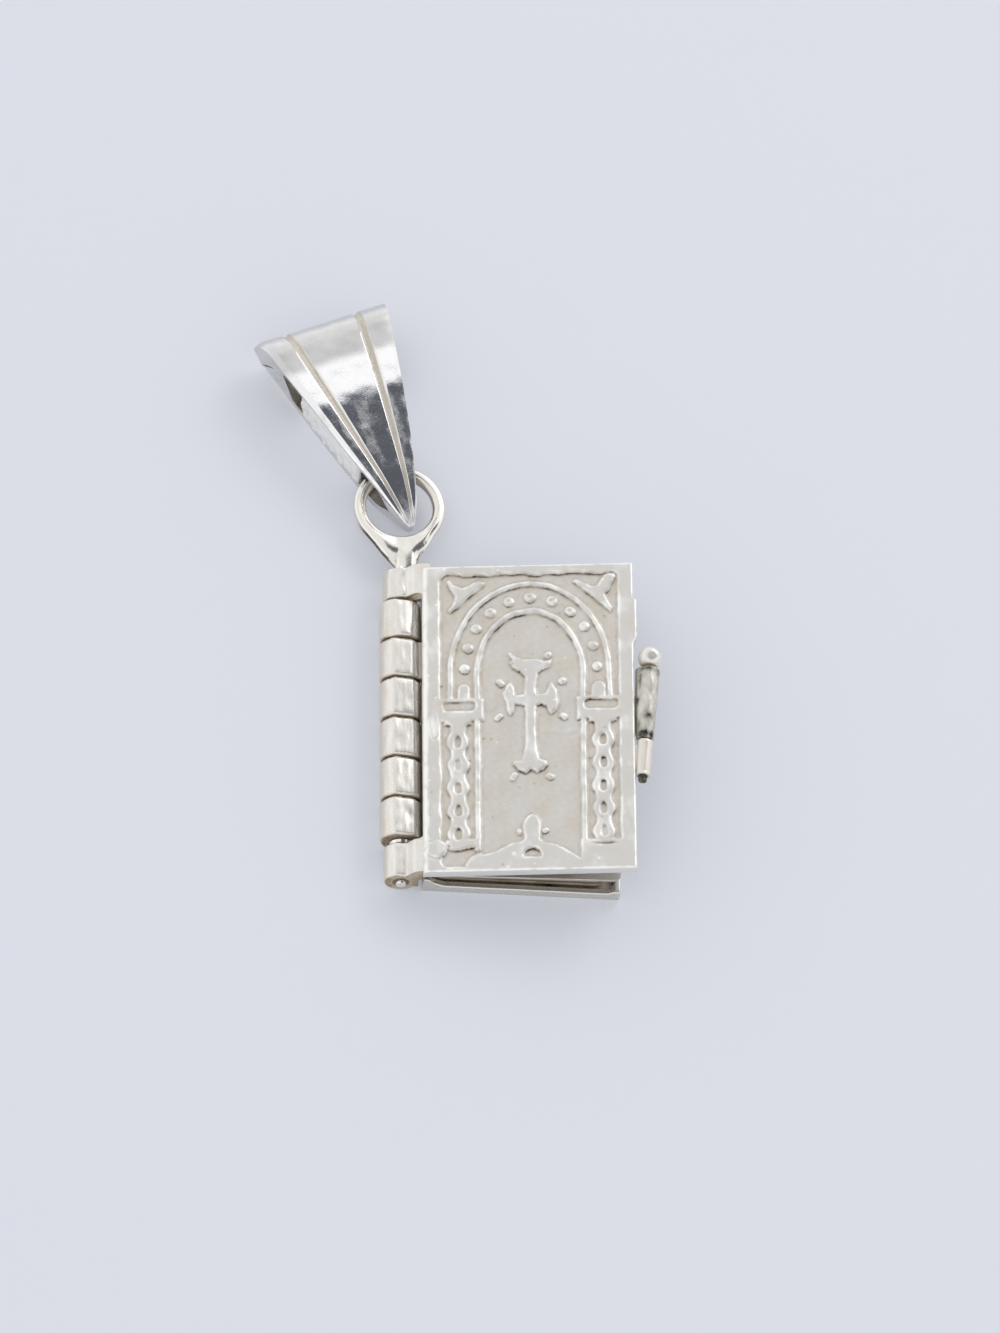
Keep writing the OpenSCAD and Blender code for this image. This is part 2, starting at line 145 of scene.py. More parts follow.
def edge_spots(a, b, r0, r1, step):
    """Places along a side from a to b, close together over the rounded edges of radius r0 and r1."""
    arc = 1 - np.cos(np.radians([0, 18, 36, 54, 72, 90]))
    n = max(2, int(round((b - a - r0 - r1) / step)))
    inner = np.linspace(a + r0, b - r1, n + 1)
    return np.concatenate([a + r0 * arc[:-1], inner, (b - r1 * arc[:-1])[::-1]])


def edge_drop(distance, r):
    """How far a rounded edge of radius r has fallen, by the distance from the side."""
    d = np.clip(r - distance, 0, r)
    return r - np.sqrt(r * r - d * d)


def slab(form, xs, ys, top, bottom, under, tarnish, polish, wall_tarnish=0.0, wall_polish=0.0):
    """A plate whose upper side has the heights top over xs and ys. Its walls drop to bottom, with a radius of
    under at the foot. They start at the lower side and run anticlockwise."""
    gx, gy = np.meshgrid(xs, ys)
    ids = form.skin(np.stack([gx, gy, top], -1), tarnish=tarnish, polish=polish)
    rim = np.concatenate([ids[0, :-1], ids[:-1, -1], ids[-1, :0:-1], ids[:0:-1, 0]])
    edge = form.points[-1][rim - ids[0, 0]]
    rows = []
    for inset, lift in ((0, under), (under * 0.3, under * 0.3), (under, 0)):
        ring = edge.copy()
        ring[:, 0] = np.clip(ring[:, 0], xs[0] + inset, xs[-1] - inset)
        ring[:, 1] = np.clip(ring[:, 1], ys[0] + inset, ys[-1] - inset)
        ring[:, 2] = bottom + lift
        rows.append(ring)
    wall_ids = form.skin([edge] + rows, closed=True, tarnish=wall_tarnish, polish=wall_polish)
    form.end(wall_ids[-1])


def outline_in(points, d):
    """A closed outline, moved in by d along its corners' mitres. The points run anticlockwise."""
    p = np.asarray(points, float)
    ahead, back = np.roll(p, -1, 0) - p, p - np.roll(p, 1, 0)
    n1 = np.stack([-back[:, 1], back[:, 0]], 1) / np.linalg.norm(back, axis=1)[:, None]
    n2 = np.stack([-ahead[:, 1], ahead[:, 0]], 1) / np.linalg.norm(ahead, axis=1)[:, None]
    m = n1 + n2
    return p + d * m / (1 + np.sum(n1 * n2, 1))[:, None]


def box(x0, x1, z0, z1):
    """The outline of a bar with a rectangular section."""
    return [[x0, z0], [x1, z0], [x1, z1], [x0, z1]]


def bar(form, outline, y0, y1, r, **marks):
    """A bar along Y, with an outline in X and Z and edges rounded by r at both ends."""
    arc = np.radians([0, 22.5, 45, 67.5, 90])
    rows = []
    for y, s in ((y0, 1), (y1, -1)):
        part = []
        for a in arc:
            o = outline_in(outline, r * (1 - math.sin(a)))
            part.append(np.stack([o[:, 0], np.full(len(o), y + s * r * (1 - math.cos(a))), o[:, 1]], 1))
        rows += part if s > 0 else part[::-1]
    form.lid(rows, **marks)


def round_bar(y_r, n=48, lump=0.0, seed=1):
    """Closed rows of n points round Y, through a list of y and radius."""
    theta = np.arange(n) / n * math.tau
    rows = []
    for y, r in y_r:
        k = 1 + lump * lumps(theta * 2, np.full(n, y * 1.5), 1.4, seed)
        rows.append(np.stack([r * k * np.cos(theta), np.full(n, y), r * k * np.sin(theta)], 1))
    return np.array(rows)


# Shapes on the plate, as distances that are negative inside

def oblong(u, v, x, y, w, h, r):
    qx, qy = np.abs(u - x) - (w / 2 - r), np.abs(v - y) - (h / 2 - r)
    return np.hypot(np.maximum(qx, 0), np.maximum(qy, 0)) + np.minimum(np.maximum(qx, qy), 0) - r


def disc(u, v, x, y, r):
    return np.hypot(u - x, v - y) - r


def segment(u, v, a, b):
    ax, ay, bx, by = a[0], a[1], b[0] - a[0], b[1] - a[1]
    t = np.clip(((u - ax) * bx + (v - ay) * by) / (bx * bx + by * by + 1e-12), 0, 1)
    return np.hypot(u - ax - t * bx, v - ay - t * by)


def ribbon(u, v, points, width):
    d = np.full(np.shape(u), 1e3)
    for a, b in zip(points[:-1], points[1:]):
        d = np.minimum(d, segment(u, v, a, b))
    return d - width / 2


def outline(u, v, points):
    d = ribbon(u, v, list(points) + [points[0]], 0)
    inside = np.zeros(np.shape(u), bool)
    for (ax, ay), (bx, by) in zip(points, list(points[1:]) + [points[0]]):
        if ay != by:
            crosses = ((ay > v) != (by > v)) & (u < (bx - ax) * (v - ay) / (by - ay) + ax)
            inside ^= crosses
    return np.where(inside, -d, d)


def blend_min(a, b, k):
    h = np.clip(0.5 + 0.5 * (b - a) / k, 0, 1)
    return b + (a - b) * h - k * h * (1 - h)


# Beads between the arches: place and radius
BEADS = [[-3.25, 2.8, 0.25], [-3.1, 3.97, 0.25], [-2.67, 5.07, 0.25], [-1.96, 5.96, 0.26],
         [-1.03, 6.55, 0.26], [0.03, 6.78, 0.27], [1.13, 6.56, 0.26], [2.05, 5.93, 0.26],
         [2.74, 5.06, 0.25], [3.18, 3.97, 0.25], [3.36, 2.8, 0.25]]
# Drops of metal round the cross and the dome: both ends of each, and its radius
DROPS = [[(-1.56, 2.03), (-1.43, 1.87), 0.14], [(-1.66, -0.05), (-1.52, 0.08), 0.14],
         [(1.6, 2.0), (1.65, 2.02), 0.17], [(1.58, 0.06), (1.68, -0.03), 0.14],
         [(-0.93, -3.4), (-0.84, -3.24), 0.14], [(0.88, -3.33), (1.0, -3.42), 0.14],
         [(0.89, 3.43), (0.93, 3.5), 0.165], [(-0.62, -6.42), (-0.58, -6.52), 0.11],
         [(0.67, -6.44), (0.74, -6.38), 0.12]]
# Outlines in the plate's plane, from its middle
CROSS = [[-1.08, 3.6], [-0.98, 3.66], [-0.86, 3.5], [-0.4, 3.27], [0.35, 3.24], [0.72, 3.1], [1.05, 3.2],
         [1.07, 3.04], [0.98, 2.8], [0.52, 2.6], [0.36, 2.4], [0.3, 1.6], [0.33, 1.26], [0.78, 1.3],
         [0.95, 1.88], [1.07, 1.93], [1.33, 1.5], [1.42, 0.75], [1.34, 0.4], [1.07, 0.14], [0.95, 0.24],
         [0.8, 0.57], [0.52, 0.7], [0.3, 0.6], [0.27, 0], [0.3, -1.8], [0.45, -2.42], [0.8, -2.5],
         [0.85, -2.7], [0.66, -2.98], [0.32, -3.18], [0.03, -2.98], [-0.26, -3.18], [-0.65, -2.98],
         [-0.88, -2.7], [-0.82, -2.5], [-0.45, -2.5], [-0.3, -1.8], [-0.25, 0], [-0.28, 0.58], [-0.5, 0.7],
         [-0.74, 0.7], [-0.84, 0.25], [-0.97, 0.08], [-1.12, 0.24], [-1.22, 0.85], [-1.41, 1.3],
         [-1.2, 1.75], [-0.97, 1.98], [-0.8, 1.7], [-0.74, 1.25], [-0.28, 1.25], [-0.21, 2.2], [-0.5, 2.57],
         [-0.85, 2.76], [-1.0, 3.08], [-0.84, 3.15]]
LEAF_LEFT = [[-4.13, 7.82], [-4.0, 7.84], [-3.86, 7.62], [-3.36, 7.38], [-2.82, 7.66], [-2.5, 7.76],
             [-2.22, 7.68], [-2.28, 7.5], [-3.0, 6.9], [-3.5, 6.35], [-4.02, 6.0], [-4.08, 6.15],
             [-3.76, 6.65], [-3.72, 6.9], [-4.03, 7.45]]
LEAF_RIGHT = [[2.18, 7.62], [2.3, 7.76], [2.9, 7.5], [3.15, 7.34], [3.4, 7.38], [3.72, 7.92], [4.0, 8.05],
              [4.3, 8.0], [4.36, 7.85], [4.04, 7.2], [3.8, 6.86], [4.14, 6.15], [4.08, 5.84], [3.6, 6.3],
              [3.0, 6.9], [2.35, 7.48]]
HILL = [[0.05, -5.45], [-0.15, -5.55], [-0.36, -5.9], [-0.43, -6.2], [-0.36, -6.85], [-0.5, -7.02],
        [-1.0, -7.1], [-1.75, -7.55], [-2.6, -7.7], [-3.2, -8.15], [-3.32, -8.6], [3.0, -8.6], [2.45, -8.0],
        [1.6, -7.42], [1.2, -7.18], [0.6, -7.05], [0.44, -6.85], [0.5, -6.2], [0.42, -5.85], [0.24, -5.55]]


def arch_line(rx, ry, foot):
    arc = [(rx * math.cos(math.radians(a)), 2.5 + ry * math.sin(math.radians(a))) for a in range(0, 181, 5)]
    return [(rx, foot)] + arc + [(-rx, foot)]


def cast_relief(u0, v0):
    """Relief of the front plate from 0, the ground, to 1, the top of the frame, with soft cast edges."""
    u = u0 + 0.024 * lumps(u0, v0, 1.6, 3) + 0.012 * lumps(u0, v0, 0.45, 5)
    v = v0 + 0.024 * lumps(u0, v0, 1.6, 4) + 0.012 * lumps(u0, v0, 0.45, 6)
    h = np.zeros_like(u)

    def near(x0, x1, y0, y1, margin=0.3):
        """The part of the plate about a form, with its u and v."""
        rows = np.where((v0[:, 0] > y0 - margin) & (v0[:, 0] < y1 + margin))[0]
        cols = np.where((u0[0] > x0 - margin) & (u0[0] < x1 + margin))[0]
        at = np.s_[rows[0]:rows[-1] + 1, cols[0]:cols[-1] + 1]
        return at, u[at], v[at]

    def raise_to(at, d, top=1.0, soft=0.13):
        h[at] = np.maximum(h[at], top * smooth(0.5 - d / soft))

    def sink(at, d, depth=1.0, soft=0.12):
        h[at] = np.minimum(h[at], 1 - depth * smooth(0.5 - d / soft))

    # Frame with its field, whose upper edge is wavy
    wave = 0.035 * np.sin(u * 2.1 + 0.6) + 0.02 * np.sin(u * 5.3)
    field = oblong(u, v + wave * smooth((v - 6.5) / 1.2), -0.02, -0.125, 8.9, 16.45, 0.36)
    raise_to(np.s_[:, :], -field, soft=0.14)
    # Lower right block, that covers the field
    at, p, q = near(2.3, 5.2, -8.7, -6.8)
    raise_to(at, oblong(p, q, 3.9, -7.85, 2.9, 1.8, 0.08), soft=0.16)
    # Arches with straight legs
    raise_to(np.s_[:, :], ribbon(u, v, arch_line(3.985, 5.065, 1.1), 0.27), soft=0.13)
    raise_to(np.s_[:, :], ribbon(u, v, arch_line(2.645, 3.525, -7.42), 0.29), soft=0.12)
    # Beads between the arches. Those at the crown have hollow tops.
    for x, y, r in BEADS:
        at, p, q = near(x - r, x + r, y - r, y + r)
        ball = np.sqrt(np.clip(1 - (np.hypot(p - x, q - y) / (r * 1.12)) ** 2, 0, 1))
        crown = smooth((y - 4.4) / 1.4)
        hollow = 0.5 * crown * smooth(1 - np.hypot(p - x + 0.02, q - y - 0.04) / (r * 0.75))
        h[at] = np.maximum(h[at], (0.95 - 0.15 * crown) * ball ** 0.8 - hollow)
    for x, r in ((-3.32, 0.3), (3.42, 0.33)):
        at, p, q = near(x - 0.4, x + 0.4, 1.0, 2.1)
        foot = oblong(p, q, x, 1.25, 2 * r, 0.7, 0.1)
        raise_to(at, blend_min(disc(p, q, x, 1.62, r), foot, 0.1), 0.9)
    # Capitals with an oblong hollow, and the chains below them
    for s, cx in ((-1, -3.42), (1, 3.42)):
        at, p, q = near(cx - 1.3, cx + 1.3, -7.6, 1.4)
        cap = oblong(p, q, cx, 0.45, 2.2, 1.3, 0.06)
        chain_x = s * 3.61
        chain = oblong(p, q, chain_x, -3.4, 0.74, 7.1, 0.1)
        links = [-1.36 - 1.29 * i for i in range(5)]
        for i, y in enumerate(links):
            chain = blend_min(chain, disc(p, q, chain_x + 0.02 * math.sin(2.3 * i + s), y, 0.55), 0.16)
        bites = np.minimum(disc(p, q, chain_x - 0.62, -0.62, 0.27), disc(p, q, chain_x + 0.62, -0.62, 0.27))
        shoulder = np.maximum(oblong(p, q, chain_x, -0.3, 1.36, 0.7, 0.02), -bites)
        body = blend_min(blend_min(cap, chain, 0.12), shoulder, 0.08)
        raise_to(at, body, soft=0.14)
        sink(at, oblong(p, q, s * 3.55, 0.67, 1.62, 0.52, 0.22), soft=0.13)
        for i, y in enumerate(links):
            deep = [[1, 0.45, 0.9, 1, 1], [1, 1, 1, 0.9, 0.55]][s > 0][i]
            tip = (q - y) / 0.3
            hole = (np.abs((p - chain_x) / (0.16 - 0.025 * tip)) ** 2.5 + np.abs(tip) ** 2.5) ** 0.4 - 1
            sink(at, hole * 0.17, deep, soft=0.11)
    # Foot of the left chain, with the sunk corner below it
    at, p, q = near(-4.7, -2.3, -8.4, -6.6)
    raise_to(at, oblong(p, q + 0.06 * np.sin(p * 3), -3.42, -7.12, 1.65, 0.5, 0.1))
    # Slit that is left of the field at the lower right
    at, p, q = near(2.9, 4.4, -7.6, -7.0)
    along = p - 3.65
    slit = np.abs(q + 7.24 - 0.03 * np.cos(along * 2.4)) + 0.03
    sink(at, slit - 0.085 * np.clip(1 - (along / 0.66) ** 2, 0, 1), soft=0.1)
    # Leaves in the corners, cross, hill with its half-round hollow, and the balls round the cross
    for leaf in (LEAF_LEFT, LEAF_RIGHT):
        xs, ys = zip(*leaf)
        at, p, q = near(min(xs), max(xs), min(ys), max(ys))
        raise_to(at, outline(p, q, leaf))
    at, p, q = near(-1.5, 1.5, -3.3, 3.8)
    raise_to(at, outline(p, q, CROSS), soft=0.12)
    at, p, q = near(-3.5, 3.1, -8.7, -5.3)
    raise_to(at, outline(p, q, HILL), soft=0.13)
    arch = np.maximum(disc(p, q, 0.04, -7.84, 0.43), -(q + 7.86))
    sink(at, arch, soft=0.11)
    for a, b, r in DROPS:
        x0, x1 = sorted((a[0], b[0]))
        y0, y1 = sorted((a[1], b[1]))
        at, p, q = near(x0 - r, x1 + r, y0 - r, y1 + r)
        far = segment(p, q, a, b) / (r * 1.25)
        h[at] = np.maximum(h[at], 1.02 * np.sqrt(np.clip(1 - far ** 2, 0, 1)))
    # Second slope of the hill on the left, and thin lines beside the dome
    at, p, q = near(-3.6, -2.2, -8.7, -7.5)
    raise_to(at, ribbon(p, q, [(-3.35, -8.5), (-3.0, -7.95), (-2.5, -7.68)], 0.2), 0.8)
    for s in (-1, 1):
        at, p, q = near(-1.3, 1.3, -6.9, -5.1)
        line = [(0.03, -5.28), (s * 0.33, -5.5), (s * 0.56, -5.95), (s * 0.7, -6.3)]
        raise_to(at, ribbon(p, q, line, 0.03), 0.22, 0.12)
    # Casting line across the panel, and a faint oval left of the cross
    at, p, q = near(0.3, 2.5, -1.3, -0.6)
    step = q + 0.93 - 0.05 * np.sin(p * 3.1)
    h[at] += (0.09 * smooth(0.5 + step / 0.1) * smooth((0.45 - step) / 0.4)
              * smooth((p - 0.3) / 0.3) * smooth((2.5 - p) / 0.2))
    at, p, q = near(-2.4, -1.6, 0.2, 1.4)
    raise_to(at, disc(p * 1.25, q * 0.8, -2.5, 0.66, 0.36), 0.16, 0.12)
    # Left border: a groove with a hooked foot, and the round blob at its lower end
    at, p, q = near(-5.1, -4.4, -1.6, 1.4)
    hook = [(-4.72, 1.26), (-4.78, 0.4), (-4.72, -0.6), (-4.62, -0.98), (-4.78, -1.3), (-4.93, -0.9),
            (-5.02, 0.2)]
    sink(at, ribbon(p, q, hook, 0.05), 0.55, 0.12)
    at, p, q = near(-5.2, -4.1, -8.1, -6.6)
    line = np.abs(q + 6.86 - 0.05 * np.sin(p * 4)) - 0.03
    sink(at, line + 2 * np.clip(p + 4.3, 0, 1), 0.6, 0.12)
    sink(at, np.abs(disc(p, q, -4.68, -7.32, 0.6)) - 0.04 + 2 * np.clip(q + 7.2, 0, 1), 0.8, 0.14)
    raise_to(at, disc(p, q, -4.68, -7.32, 0.5), soft=0.14)
    # The left border's inner edge swells and narrows below the groove
    at, p, q = near(-4.9, -4.2, -7.0, -1.2)
    swell = 0.06 * np.sin(q * 2.6 + 0.5)
    raise_to(at, ribbon(p + swell, q, [(-4.62, -1.3), (-4.62, -6.8)], 0.3), soft=0.14)
    return h


def blur(a, n):
    """Mean over a square of 2n + 1 points."""
    side = 2 * n + 1
    for axis in (0, 1):
        pad = [(n + 1, n) if k == axis else (0, 0) for k in (0, 1)]
        c = np.cumsum(np.pad(a, pad, mode="edge"), axis=axis)
        a = (c[side:] - c[:-side]) / side if axis == 0 else (c[:, side:] - c[:, :-side]) / side
    return a


# Materials

def linear(code):
    """An sRGB hex colour as linear red, green, blue and alpha."""
    parts = [int(code[i:i + 2], 16) / 255 for i in (1, 3, 5)]
    return [c / 12.92 if c <= 0.04045 else ((c + 0.055) / 1.055) ** 2.4 for c in parts] + [1.0]


def add(tree, kind, sockets=None, **settings):
    """One node with its settings. A socket takes a value, or a link where another node's output is given."""
    node = tree.nodes.new(kind)
    for key, value in settings.items():
        setattr(node, key, value)
    for key, value in (sockets or {}).items():
        if isinstance(value, bpy.types.NodeSocket):
            tree.links.new(value, node.inputs[key])
        else:
            node.inputs[key].default_value = value
    return node


CLOUDS_PER_MM = 0.9
SCRATCHES_PER_MM = 9  # coarser than on real worn silver, so that they show at this distance
SPREAD = {"From Min": 0.3, "From Max": 0.7}  # where most of a noise lies


def silver(name, bright, ground, dark, rough, polished, grain_mm, grain_um, scratch_um,
           scratch_along=(1, 1, 1), blotch=0.25, matt=0.0, rubbed_and_highlight=None):
    """Silver alloy: bright where it is worn by rubbing, a warmer ground, and dark sulphide where the
    tarnish mark is high, where the same dark colours also paint shade. Roughness falls from rough to
    polished with the polish mark. Grain_mm is the width of the grain, which is drawn coarser than the real
    one so that it shows. Blotch is how far the warm ground gathers in clouds. Matt is the share of light that
    a frosted skin scatters like chalk. Rubbed_and_highlight is the colour of edges that are worn bright, and
    it also paints highlights wherever the polish mark passes 0.65."""
    material = bpy.data.materials.new(name)
    material.use_nodes = True
    tree = material.node_tree
    tree.nodes.clear()
    spot = add(tree, "ShaderNodeTexCoord").outputs["Object"]
    mm = add(tree, "ShaderNodeVectorMath", {0: spot, 1: (1000, 1000, 1000)}, operation="MULTIPLY").outputs[0]
    along = add(tree, "ShaderNodeVectorMath", {0: mm, 1: scratch_along}, operation="MULTIPLY").outputs[0]
    tarnish = add(tree, "ShaderNodeAttribute", attribute_name="tarnish").outputs["Fac"]
    polish = add(tree, "ShaderNodeAttribute", attribute_name="polish").outputs["Fac"]
    clouds, specks, lines = [add(tree, "ShaderNodeTexNoise", noise).outputs["Fac"] for noise in (
        {"Vector": mm, "Scale": CLOUDS_PER_MM, "Detail": 5, "Roughness": 0.62},
        {"Vector": mm, "Scale": 1 / grain_mm, "Detail": 4, "Roughness": 0.7},
        {"Vector": along, "Scale": SCRATCHES_PER_MM, "Detail": 3, "Roughness": 0.65, "Distortion": 0.3})]
    # Warm ground shows in clouds where the metal isn't rubbed
    cloudy = add(tree, "ShaderNodeMapRange", {"Value": clouds, "From Min": 0.35, "From Max": 0.68}).outputs[0]
    unworn = add(tree, "ShaderNodeMath", {0: 1.0, 1: polish}, operation="SUBTRACT").outputs[0]
    in_clouds = add(tree, "ShaderNodeMath", {0: cloudy, 1: unworn}, operation="MULTIPLY").outputs[0]
    all_over = add(tree, "ShaderNodeMath", {0: unworn, 1: 1 - blotch}, operation="MULTIPLY").outputs[0]
    warm = add(tree, "ShaderNodeMath", {0: in_clouds, 1: blotch, 2: all_over},
               operation="MULTIPLY_ADD").outputs[0]
    fleck = add(tree, "ShaderNodeMapRange", {"Value": specks, **SPREAD, "To Min": -0.25 * blotch,
                                             "To Max": 0.25 * blotch}).outputs[0]
    warm = add(tree, "ShaderNodeMath", {0: warm, 1: fleck}, operation="ADD", use_clamp=True).outputs[0]
    tone = add(tree, "ShaderNodeMix", {"Factor": warm, "A": linear(bright), "B": linear(ground)},
               data_type="RGBA").outputs["Result"]
    # Past 0.65 polish the colour turns to rubbed_and_highlight: edges worn bright, and a painted highlight
    if rubbed_and_highlight:
        worn = add(tree, "ShaderNodeMapRange", {"Value": polish, "From Min": 0.65}).outputs[0]
        tone = add(tree, "ShaderNodeMix", {"Factor": worn, "A": tone, "B": linear(rubbed_and_highlight)},
                   data_type="RGBA").outputs["Result"]
    # The tarnish mark is broken up by the grain
    crumb = add(tree, "ShaderNodeMapRange", {"Value": specks, **SPREAD, "To Min": 0.72,
                                             "To Max": 1.18}).outputs[0]
    film_and_shade = add(tree, "ShaderNodeMath", {0: tarnish, 1: crumb}, operation="MULTIPLY",
               use_clamp=True).outputs[0]
    thick = add(tree, "ShaderNodeMapRange", {"Value": film_and_shade, "From Min": 0.4}).outputs[0]
    film_tone = add(tree, "ShaderNodeMix", {"Factor": thick, "A": linear(dark[0]), "B": linear(dark[1])},
                    data_type="RGBA").outputs["Result"]
    colour = add(tree, "ShaderNodeMix", {"Factor": film_and_shade, "A": tone, "B": film_tone},
                 data_type="RGBA").outputs["Result"]
    # Sulphide and painted shade dull the gloss, and the scratches make it uneven
    gloss = add(tree, "ShaderNodeMapRange", {"Value": polish, "To Min": rough, "To Max": polished}).outputs[0]
    gloss = add(tree, "ShaderNodeMath", {0: film_and_shade, 1: 0.3, 2: gloss}, operation="MULTIPLY_ADD").outputs[0]
    haze = add(tree, "ShaderNodeMapRange", {"Value": lines, **SPREAD, "To Min": -0.05,
                                            "To Max": 0.06}).outputs[0]
    gloss = add(tree, "ShaderNodeMath", {0: gloss, 1: haze}, operation="ADD", use_clamp=True).outputs[0]
    # Bumps, in metres: grain_um and scratch_um are their heights in thousandths of a millimetre
    grain = add(tree, "ShaderNodeBump", {"Distance": grain_um * 1e-6, "Height": specks}).outputs[0]
    marks = add(tree, "ShaderNodeBump", {"Distance": scratch_um * 1e-6, "Height": lines,
                                         "Normal": grain}).outputs[0]
    # Where the film_and_shade mark is thick, as sulphide or as painted shade, the shader turns from metal to
    # a dull solid
    metal = add(tree, "ShaderNodeMapRange", {"Value": film_and_shade, "From Min": 0.5, "To Min": 1 - matt,
                                             "To Max": 0.35}).outputs[0]
    shader = add(tree, "ShaderNodeBsdfPrincipled", {"Base Color": colour, "Roughness": gloss,
                                                    "Metallic": metal, "Normal": marks}).outputs[0]
    add(tree, "ShaderNodeOutputMaterial", {"Surface": shader})
    return material


# These browns are sulphide, and they also paint shade on the cover's relief and under the eye
BROWN_FILM_AND_SHADE = ("#8A7460", "#2A1F16")  # sulphide, thin and thick
# Cast sterling silver: frosted from the mould, cream in the ground, brown sulphide at the foot of the relief,
# painted shade on its slopes that face the lower end, and a near white on its edges that is wear and painted
# highlight
cast_silver = silver("cast_silver_satin", "#DADADA", "#D5CCBC", BROWN_FILM_AND_SHADE, rough=0.52, polished=0.34,
                     grain_mm=0.14, grain_um=2.6, scratch_um=1.5, blotch=0.5, matt=0.45, rubbed_and_highlight="#F8F7F2")
# Filed silver of the hinge, worn bright by rubbing: bright flats with fine lines along the file's stroke. Its
# browns also paint shade on the knuckles' sides
filed_silver = silver("filed_silver_bright", "#EAE8E3", "#D8D0C3", ("#B8A688", "#84704F"), rough=0.4,
                      polished=0.2, grain_mm=0.1, grain_um=2.0, scratch_um=1.6,
                      scratch_along=(3.0, 0.35, 3.0), matt=0.5)
# Rolled sheet of the back: satin, with a thin even film
sheet_silver = silver("rolled_silver_satin", "#DAD9D5", "#CAC5BA", BROWN_FILM_AND_SHADE, rough=0.34, polished=0.2,
                      grain_mm=0.15, grain_um=1.0, scratch_um=1.2, matt=0.2)
# Inner leaves: old dull silver sheet, brown at the cut edges
leaf_silver = silver("rolled_silver_tarnished", "#C9C3B8", "#A89D8E", ("#A08D72", "#574833"), rough=0.45,
                     polished=0.3, grain_mm=0.09, grain_um=3.0, scratch_um=2.0, scratch_along=(0.5, 4.0, 4.0),
                     blotch=0.6, matt=0.4)
# Drawn wire of the eye and pin, burnished by use. Its browns also paint a black crescent of shade on the eye
wire_silver = silver("drawn_silver_burnished", "#F1EFEA", "#DDD6C9", BROWN_FILM_AND_SHADE, rough=0.32, polished=0.14,
                     grain_mm=0.12, grain_um=1.6, scratch_um=1.0)
# Rolled bail: mirror bright on its front, brushed satin over the bend, matt cream in the grooves, and painted
# shade, nearly black, in the hollow before the bend
bail_silver = silver("rolled_silver_polished", "#F8F8F9", "#BEBDBB", ("#E6D9C4", "#1A1410"), rough=0.42,
                     polished=0.09, grain_mm=0.1, grain_um=1.6, scratch_um=2.2)
# Turned-down sides of the bail: bright and uneven from the pliers
crimped_silver = silver("crimped_silver_bright", "#F4F3F0", "#DCD6CC", BROWN_FILM_AND_SHADE, rough=0.3, polished=0.18,
                        grain_mm=0.2, grain_um=9.0, scratch_um=4.0, matt=0.55)
# Hasp of the clasp: mottled old silver, black in its hollows. It also paints the clasp pin near black, as a
# painted dark reflection
hasp_silver = silver("cast_silver_tarnished", "#DAD8D1", "#BFBBB0", ("#78705F", "#0F0C0A"), rough=0.42,
                     polished=0.28, grain_mm=0.2, grain_um=3.0, scratch_um=2.0, blotch=0.7, matt=0.3)


# Front cover

GRID = 0.046  # between two points of the relief
HINGE_ROUND, EDGE_ROUND = 0.3, 0.1
COVER_LEFT, COVER_RIGHT, COVER_END = -PLATE_W / 2 - HINGE_EDGE, PLATE_W / 2, PLATE_H / 2
us = edge_spots(COVER_LEFT, COVER_RIGHT, HINGE_ROUND, EDGE_ROUND, GRID)
vs = edge_spots(-COVER_END, COVER_END, EDGE_ROUND, EDGE_ROUND, GRID)
U, V = np.meshgrid(us, vs)
relief = cast_relief(U, V)
drop = (edge_drop(U - COVER_LEFT, HINGE_ROUND) + edge_drop(COVER_RIGHT - U, EDGE_ROUND)
        + edge_drop(V + COVER_END, EDGE_ROUND) + edge_drop(COVER_END - V, EDGE_ROUND))
rounded = 0.5 * relief + 0.5 * blur(relief, 2)
top = (RECESS_Z + RELIEF * rounded + 0.006 * lumps(U, V, 3.5, 8) + 0.0016 * lumps(U, V, 0.45, 9)
       - np.minimum(drop, 0.34))
# Sulphide gathers at the foot of the relief. Its slopes that face the lower end are darkened too, as painted
# shade
bulge = top - blur(top, 2)
foot = smooth(-bulge / 0.013)
shaded_flank = smooth(np.gradient(top, vs, axis=0) / 0.65) * (0.35 + 0.65 * smooth(-bulge / 0.01))
broken = 0.75 + 0.35 * lumps(U, V, 0.9, 12)
# The ground under the inner arch is cleaner than the ground outside it
inside_arch = smooth((2.5 - np.abs(U)) / 0.1) * (np.hypot(U / 2.55, np.maximum(V - 2.5, 0) / 3.4) < 1)
ground = 1 - smooth(relief * 1.6)
stain = 0.06 + 0.05 * lumps(U, V, 1.7, 13) + 0.04 * lumps(U, V, 0.5, 14)
cover_tarnish = np.clip((0.85 * shaded_flank + 0.22 * foot) * broken
                        + (stain * (1 - 0.3 * inside_arch) + 0.02 * inside_arch) * ground, 0, 1)
cover_tarnish *= smooth((4.75 - np.abs(U)) / 0.3) * smooth((8.45 - np.abs(V)) / 0.2)
# The plate's outer edges and the relief's convex edges get high polish, which the cast silver shows in its
# near-white rubbed_and_highlight colour: wear, and a painted highlight
rubbed_and_highlight = np.maximum(smooth((np.abs(V) - 8.5) / 0.07), smooth((np.abs(U) - 5.08) / 0.08))
rubbed_and_highlight = rubbed_and_highlight * np.clip(0.75 + 0.5 * lumps(U, V, 0.7, 19), 0, 1)
cover_polish_and_highlight = (0.6 - 0.35 * ground + 0.12 * inside_arch * ground + 0.05 * lumps(U, V, 0.6, 15)
                + 0.15 * lumps(U, V, 2.2, 16) + (0.2 + 0.14 * lumps(U, V, 0.8, 18)) * smooth(bulge / 0.01)
                + 0.4 * rubbed_and_highlight)
cover_polish_and_highlight = np.clip(cover_polish_and_highlight, 0, 1)
